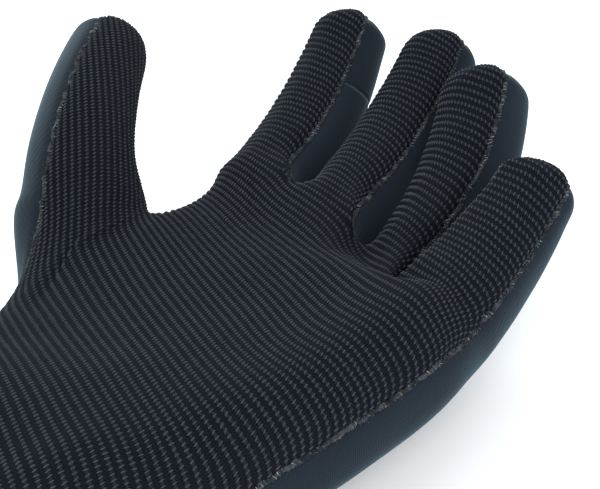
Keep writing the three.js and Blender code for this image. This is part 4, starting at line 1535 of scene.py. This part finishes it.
# %% Starting a material
def new_material(name, base, roughness, gloss, sheen=0.0, sheen_tint=(1, 1, 1), sheen_roughness=0.5):
    material = bpy.data.materials.new(name)
    material.use_nodes = True
    tree = material.node_tree
    shader = tree.nodes["Principled BSDF"]
    shader.inputs["Base Color"].default_value = (*base, 1)
    shader.inputs["Roughness"].default_value = roughness
    shader.inputs["Sheen Weight"].default_value = sheen
    shader.inputs["Sheen Tint"].default_value = (*sheen_tint, 1)
    shader.inputs["Sheen Roughness"].default_value = sheen_roughness
    shader.inputs["Specular IOR Level"].default_value = gloss
    material.diffuse_color = (*base, 1)
    return material, tree, shader


def placed(tree, group, **values):
    node = tree.nodes.new("ShaderNodeGroup")
    node.node_tree = group
    for label, value in values.items():
        node.inputs[label].default_value = value
    return node


def blend(tree, share, first, second):
    node = tree.nodes.new("ShaderNodeMix")
    node.data_type = "RGBA"
    tree.links.new(share, node.inputs["Factor"])
    for socket, value in ((node.inputs[6], first), (node.inputs[7], second)):
        if isinstance(value, tuple):
            socket.default_value = (*value, 1)
        else:
            tree.links.new(value, socket)
    return node.outputs[2]


def bump(tree, shader, height, distance, strength=1.0):
    node = tree.nodes.new("ShaderNodeBump")
    node.inputs["Strength"].default_value = strength
    node.inputs["Distance"].default_value = distance
    tree.links.new(height, node.inputs["Height"])
    tree.links.new(node.outputs["Normal"], shader.inputs["Normal"])


def object_place(tree):
    return tree.nodes.new("ShaderNodeTexCoord").outputs["Object"]


def cloth_map(tree):
    node = tree.nodes.new("ShaderNodeUVMap")
    node.uv_map = "cloth"
    return node.outputs["UV"]


# %% The knit's ground and its stitches
def knit_ground():
    material, tree, shader = new_material("knit_ground", (0.006, 0.0075, 0.011), 0.95, gloss=0.04)
    rows = placed(tree, yarn_rows, Row=RIB_PITCH / MM / 2, Yarn=STITCH_STEP / MM / 2, Slant=0.55)
    tree.links.new(cloth_map(tree), rows.inputs["Cloth"])
    clouds = placed(tree, cloudy, Size=55.0)
    tree.links.new(object_place(tree), clouds.inputs["Place"])
    apart = tree.nodes.new("ShaderNodeSeparateXYZ")
    tree.links.new(cloth_map(tree), apart.inputs[0])
    # Painted shade: the knit is darkened in the valleys between its ribs
    turn = maths(tree, "MULTIPLY", apart.outputs[1], 2 * math.pi / (RIB_PITCH / MM))
    valley_shade_mask = maths(tree, "MULTIPLY_ADD", maths(tree, "COSINE", turn), -0.5, 0.5)
    lit = blend(tree, clouds.outputs["Clouds"], (0.0080, 0.0098, 0.0138), (0.0170, 0.0203, 0.0268))
    # Painted shade: the gaps between the yarns are darkened
    gap_shaded = blend(tree, rows.outputs["GapShade"], lit, (0.0008, 0.0010, 0.0018))
    valley_shaded = blend(tree, maths(tree, "MULTIPLY", valley_shade_mask, 0.75), gap_shaded, (0.002, 0.0024, 0.004))
    tree.links.new(valley_shaded, shader.inputs["Base Color"])
    bump(tree, shader, rows.outputs["Height"], 0.00018, 1.0)
    return material


def highlighted_stitch_yarn():
    material, tree, shader = new_material("highlighted_stitch_yarn", (0.035, 0.041, 0.052), 0.85, gloss=0.15)
    clouds = placed(tree, cloudy, Size=420.0)
    tree.links.new(object_place(tree), clouds.inputs["Place"])
    # Painted highlight: the stitches' yarn is paler than the ground's, as where their tops catch the light;
    # clouds and fibres vary it at random
    base = blend(tree, clouds.outputs["Clouds"], (0.012, 0.014, 0.019), (0.060, 0.069, 0.082))
    spotted = blend(tree, clouds.outputs["Fibres"], base, (0.030, 0.035, 0.042))
    tree.links.new(spotted, shader.inputs["Base Color"])
    bump(tree, shader, clouds.outputs["Fibres"], 0.0001, 0.5)
    return material


# %% The jersey
def jersey(name, tint, shade):
    material, tree, shader = new_material(name, tint, 0.85, gloss=0.12, sheen=0.16,
                                          sheen_tint=(0.45, 0.80, 0.95), sheen_roughness=0.3)
    rows = placed(tree, yarn_rows, Row=0.55, Yarn=0.9, Slant=0.5)
    tree.links.new(cloth_map(tree), rows.inputs["Cloth"])
    clouds = placed(tree, cloudy, Size=45.0)
    tree.links.new(object_place(tree), clouds.inputs["Place"])
    lit = blend(tree, clouds.outputs["Clouds"], shade, tint)
    # Painted shade: the gaps between the jersey's yarns are darkened a little
    faint_gap_shade = maths(tree, "MULTIPLY", rows.outputs["GapShade"], 0.7)
    gap_shaded = blend(tree, faint_gap_shade, lit, (0.003, 0.005, 0.009))
    tree.links.new(gap_shaded, shader.inputs["Base Color"])
    bump(tree, shader, rows.outputs["Height"], 0.00010, 0.7)
    return material


# %% The seam, the lining and the foam
def seam_yarn(name, dark, pale, size):
    material, tree, shader = new_material(name, pale, 0.9, gloss=0.2)
    clouds = placed(tree, cloudy, Size=size)
    tree.links.new(object_place(tree), clouds.inputs["Place"])
    sharp = tree.nodes.new("ShaderNodeMapRange")
    sharp.inputs["From Min"].default_value = 0.44
    sharp.inputs["From Max"].default_value = 0.66
    tree.links.new(clouds.outputs["Clouds"], sharp.inputs["Value"])
    tree.links.new(blend(tree, sharp.outputs["Result"], dark, pale), shader.inputs["Base Color"])
    bump(tree, shader, clouds.outputs["Fibres"], 0.0002, 0.8)
    return material


def foam(name, base):
    material, tree, shader = new_material(name, base, 0.95, gloss=0.2)
    pores = tree.nodes.new("ShaderNodeTexVoronoi")
    pores.inputs["Scale"].default_value = 2500
    tree.links.new(object_place(tree), pores.inputs["Vector"])
    # Painted shade: each pore of the cut foam is darker at its middle
    pore_shade = tuple(0.4 * value for value in base)
    tree.links.new(blend(tree, pores.outputs["Distance"], pore_shade, base), shader.inputs["Base Color"])
    bump(tree, shader, pores.outputs["Distance"], 0.0002, 0.6)
    return material


back_cloth = jersey("back_jersey", (0.0095, 0.0155, 0.0235), (0.0050, 0.0085, 0.0135))
index_cloth = jersey("index_jersey", (0.0080, 0.0125, 0.0190), (0.0042, 0.0070, 0.0110))
inner_cloth = jersey("lining", (0.020, 0.022, 0.026), (0.012, 0.013, 0.016))
ridge_yarn = seam_yarn("seam_ridge", (0.006, 0.008, 0.011), (0.050, 0.055, 0.061), 350.0)
loop_yarn = seam_yarn("seam_thread", (0.014, 0.017, 0.021), (0.25, 0.26, 0.26), 420.0)
loose_yarn = seam_yarn("seam_fibre", (0.018, 0.021, 0.026), (0.12, 0.13, 0.13), 420.0)

# %% Each piece gets its cloth and is attached to the root
finishes = {
    palm_knit: (knit_ground(), "palm_panel"),
    palm_stitches: (highlighted_stitch_yarn(), "palm_panel"),
    back_jersey: (back_cloth, "back_panel"),
    index_jersey: (index_cloth, "index_back_panel"),
    lining: (inner_cloth, "back_panel"),
    cut_edge: (foam("cut_foam", (0.02, 0.02, 0.022)), "back_panel"),
    seam_ridge: (ridge_yarn, "palm_panel"),
    seam_threads: (loop_yarn, "palm_panel"),
    seam_fibres: (loose_yarn, "palm_panel"),
}
for piece, (material, slot) in finishes.items():
    piece.data.materials.append(material)
    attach(piece, "root")
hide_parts("palm_panel")
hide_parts("back_panel")
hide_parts("index_back_panel")
print("pieces:", ", ".join(piece.name for piece in finishes))

# %% [markdown]
# ## Floor and light
#
# The glove lies on a plain pale floor. The light is soft and comes from all round, with a large lamp
# behind the fingertips that draws the pale rim along the jersey, and one low on each side.

# %% Floor
FLOOR_SIZE = 6.0
bpy.ops.mesh.primitive_plane_add(size=FLOOR_SIZE, location=(0, 0, 0))
floor = bpy.context.object
floor.name = "floor"
floor_material, floor_tree, floor_shader = new_material("floor", (0.86, 0.86, 0.86), 0.9, gloss=0.2)
floor.data.materials.append(floor_material)

# %% Lamps and the pale surroundings
world = bpy.data.worlds.new("studio")
world.use_nodes = True
world.node_tree.nodes["Background"].inputs["Color"].default_value = (0.93, 0.96, 1.0, 1)
world.node_tree.nodes["Background"].inputs["Strength"].default_value = 0.75
bpy.context.scene.world = world


def lamp(name, place_at, aim_at, size, power, colour):
    data = bpy.data.lights.new(name, "AREA")
    data.shape = "SQUARE"
    data.size = size
    data.energy = power
    data.color = colour
    light = bpy.data.objects.new(name, data)
    light.location = place_at
    light.rotation_mode = "QUATERNION"
    light.rotation_quaternion = (Vector(aim_at) - Vector(place_at)).to_track_quat("-Z", "Y")
    bpy.context.scene.collection.objects.link(light)


GLOVE_MIDDLE = (0, 0.05, 0.02)
lamp("behind_fingertips", (-0.35, 0.85, 0.50), GLOVE_MIDDLE, 0.8, 11, (0.88, 0.96, 1.0))
lamp("right_and_low", (0.60, -0.50, 0.36), GLOVE_MIDDLE, 0.8, 12, (0.97, 0.98, 1.0))
lamp("left_and_low", (-0.75, 0.05, 0.30), GLOVE_MIDDLE, 0.6, 7, (0.88, 0.98, 1.0))
bpy.context.scene.view_settings.view_transform = "Standard"
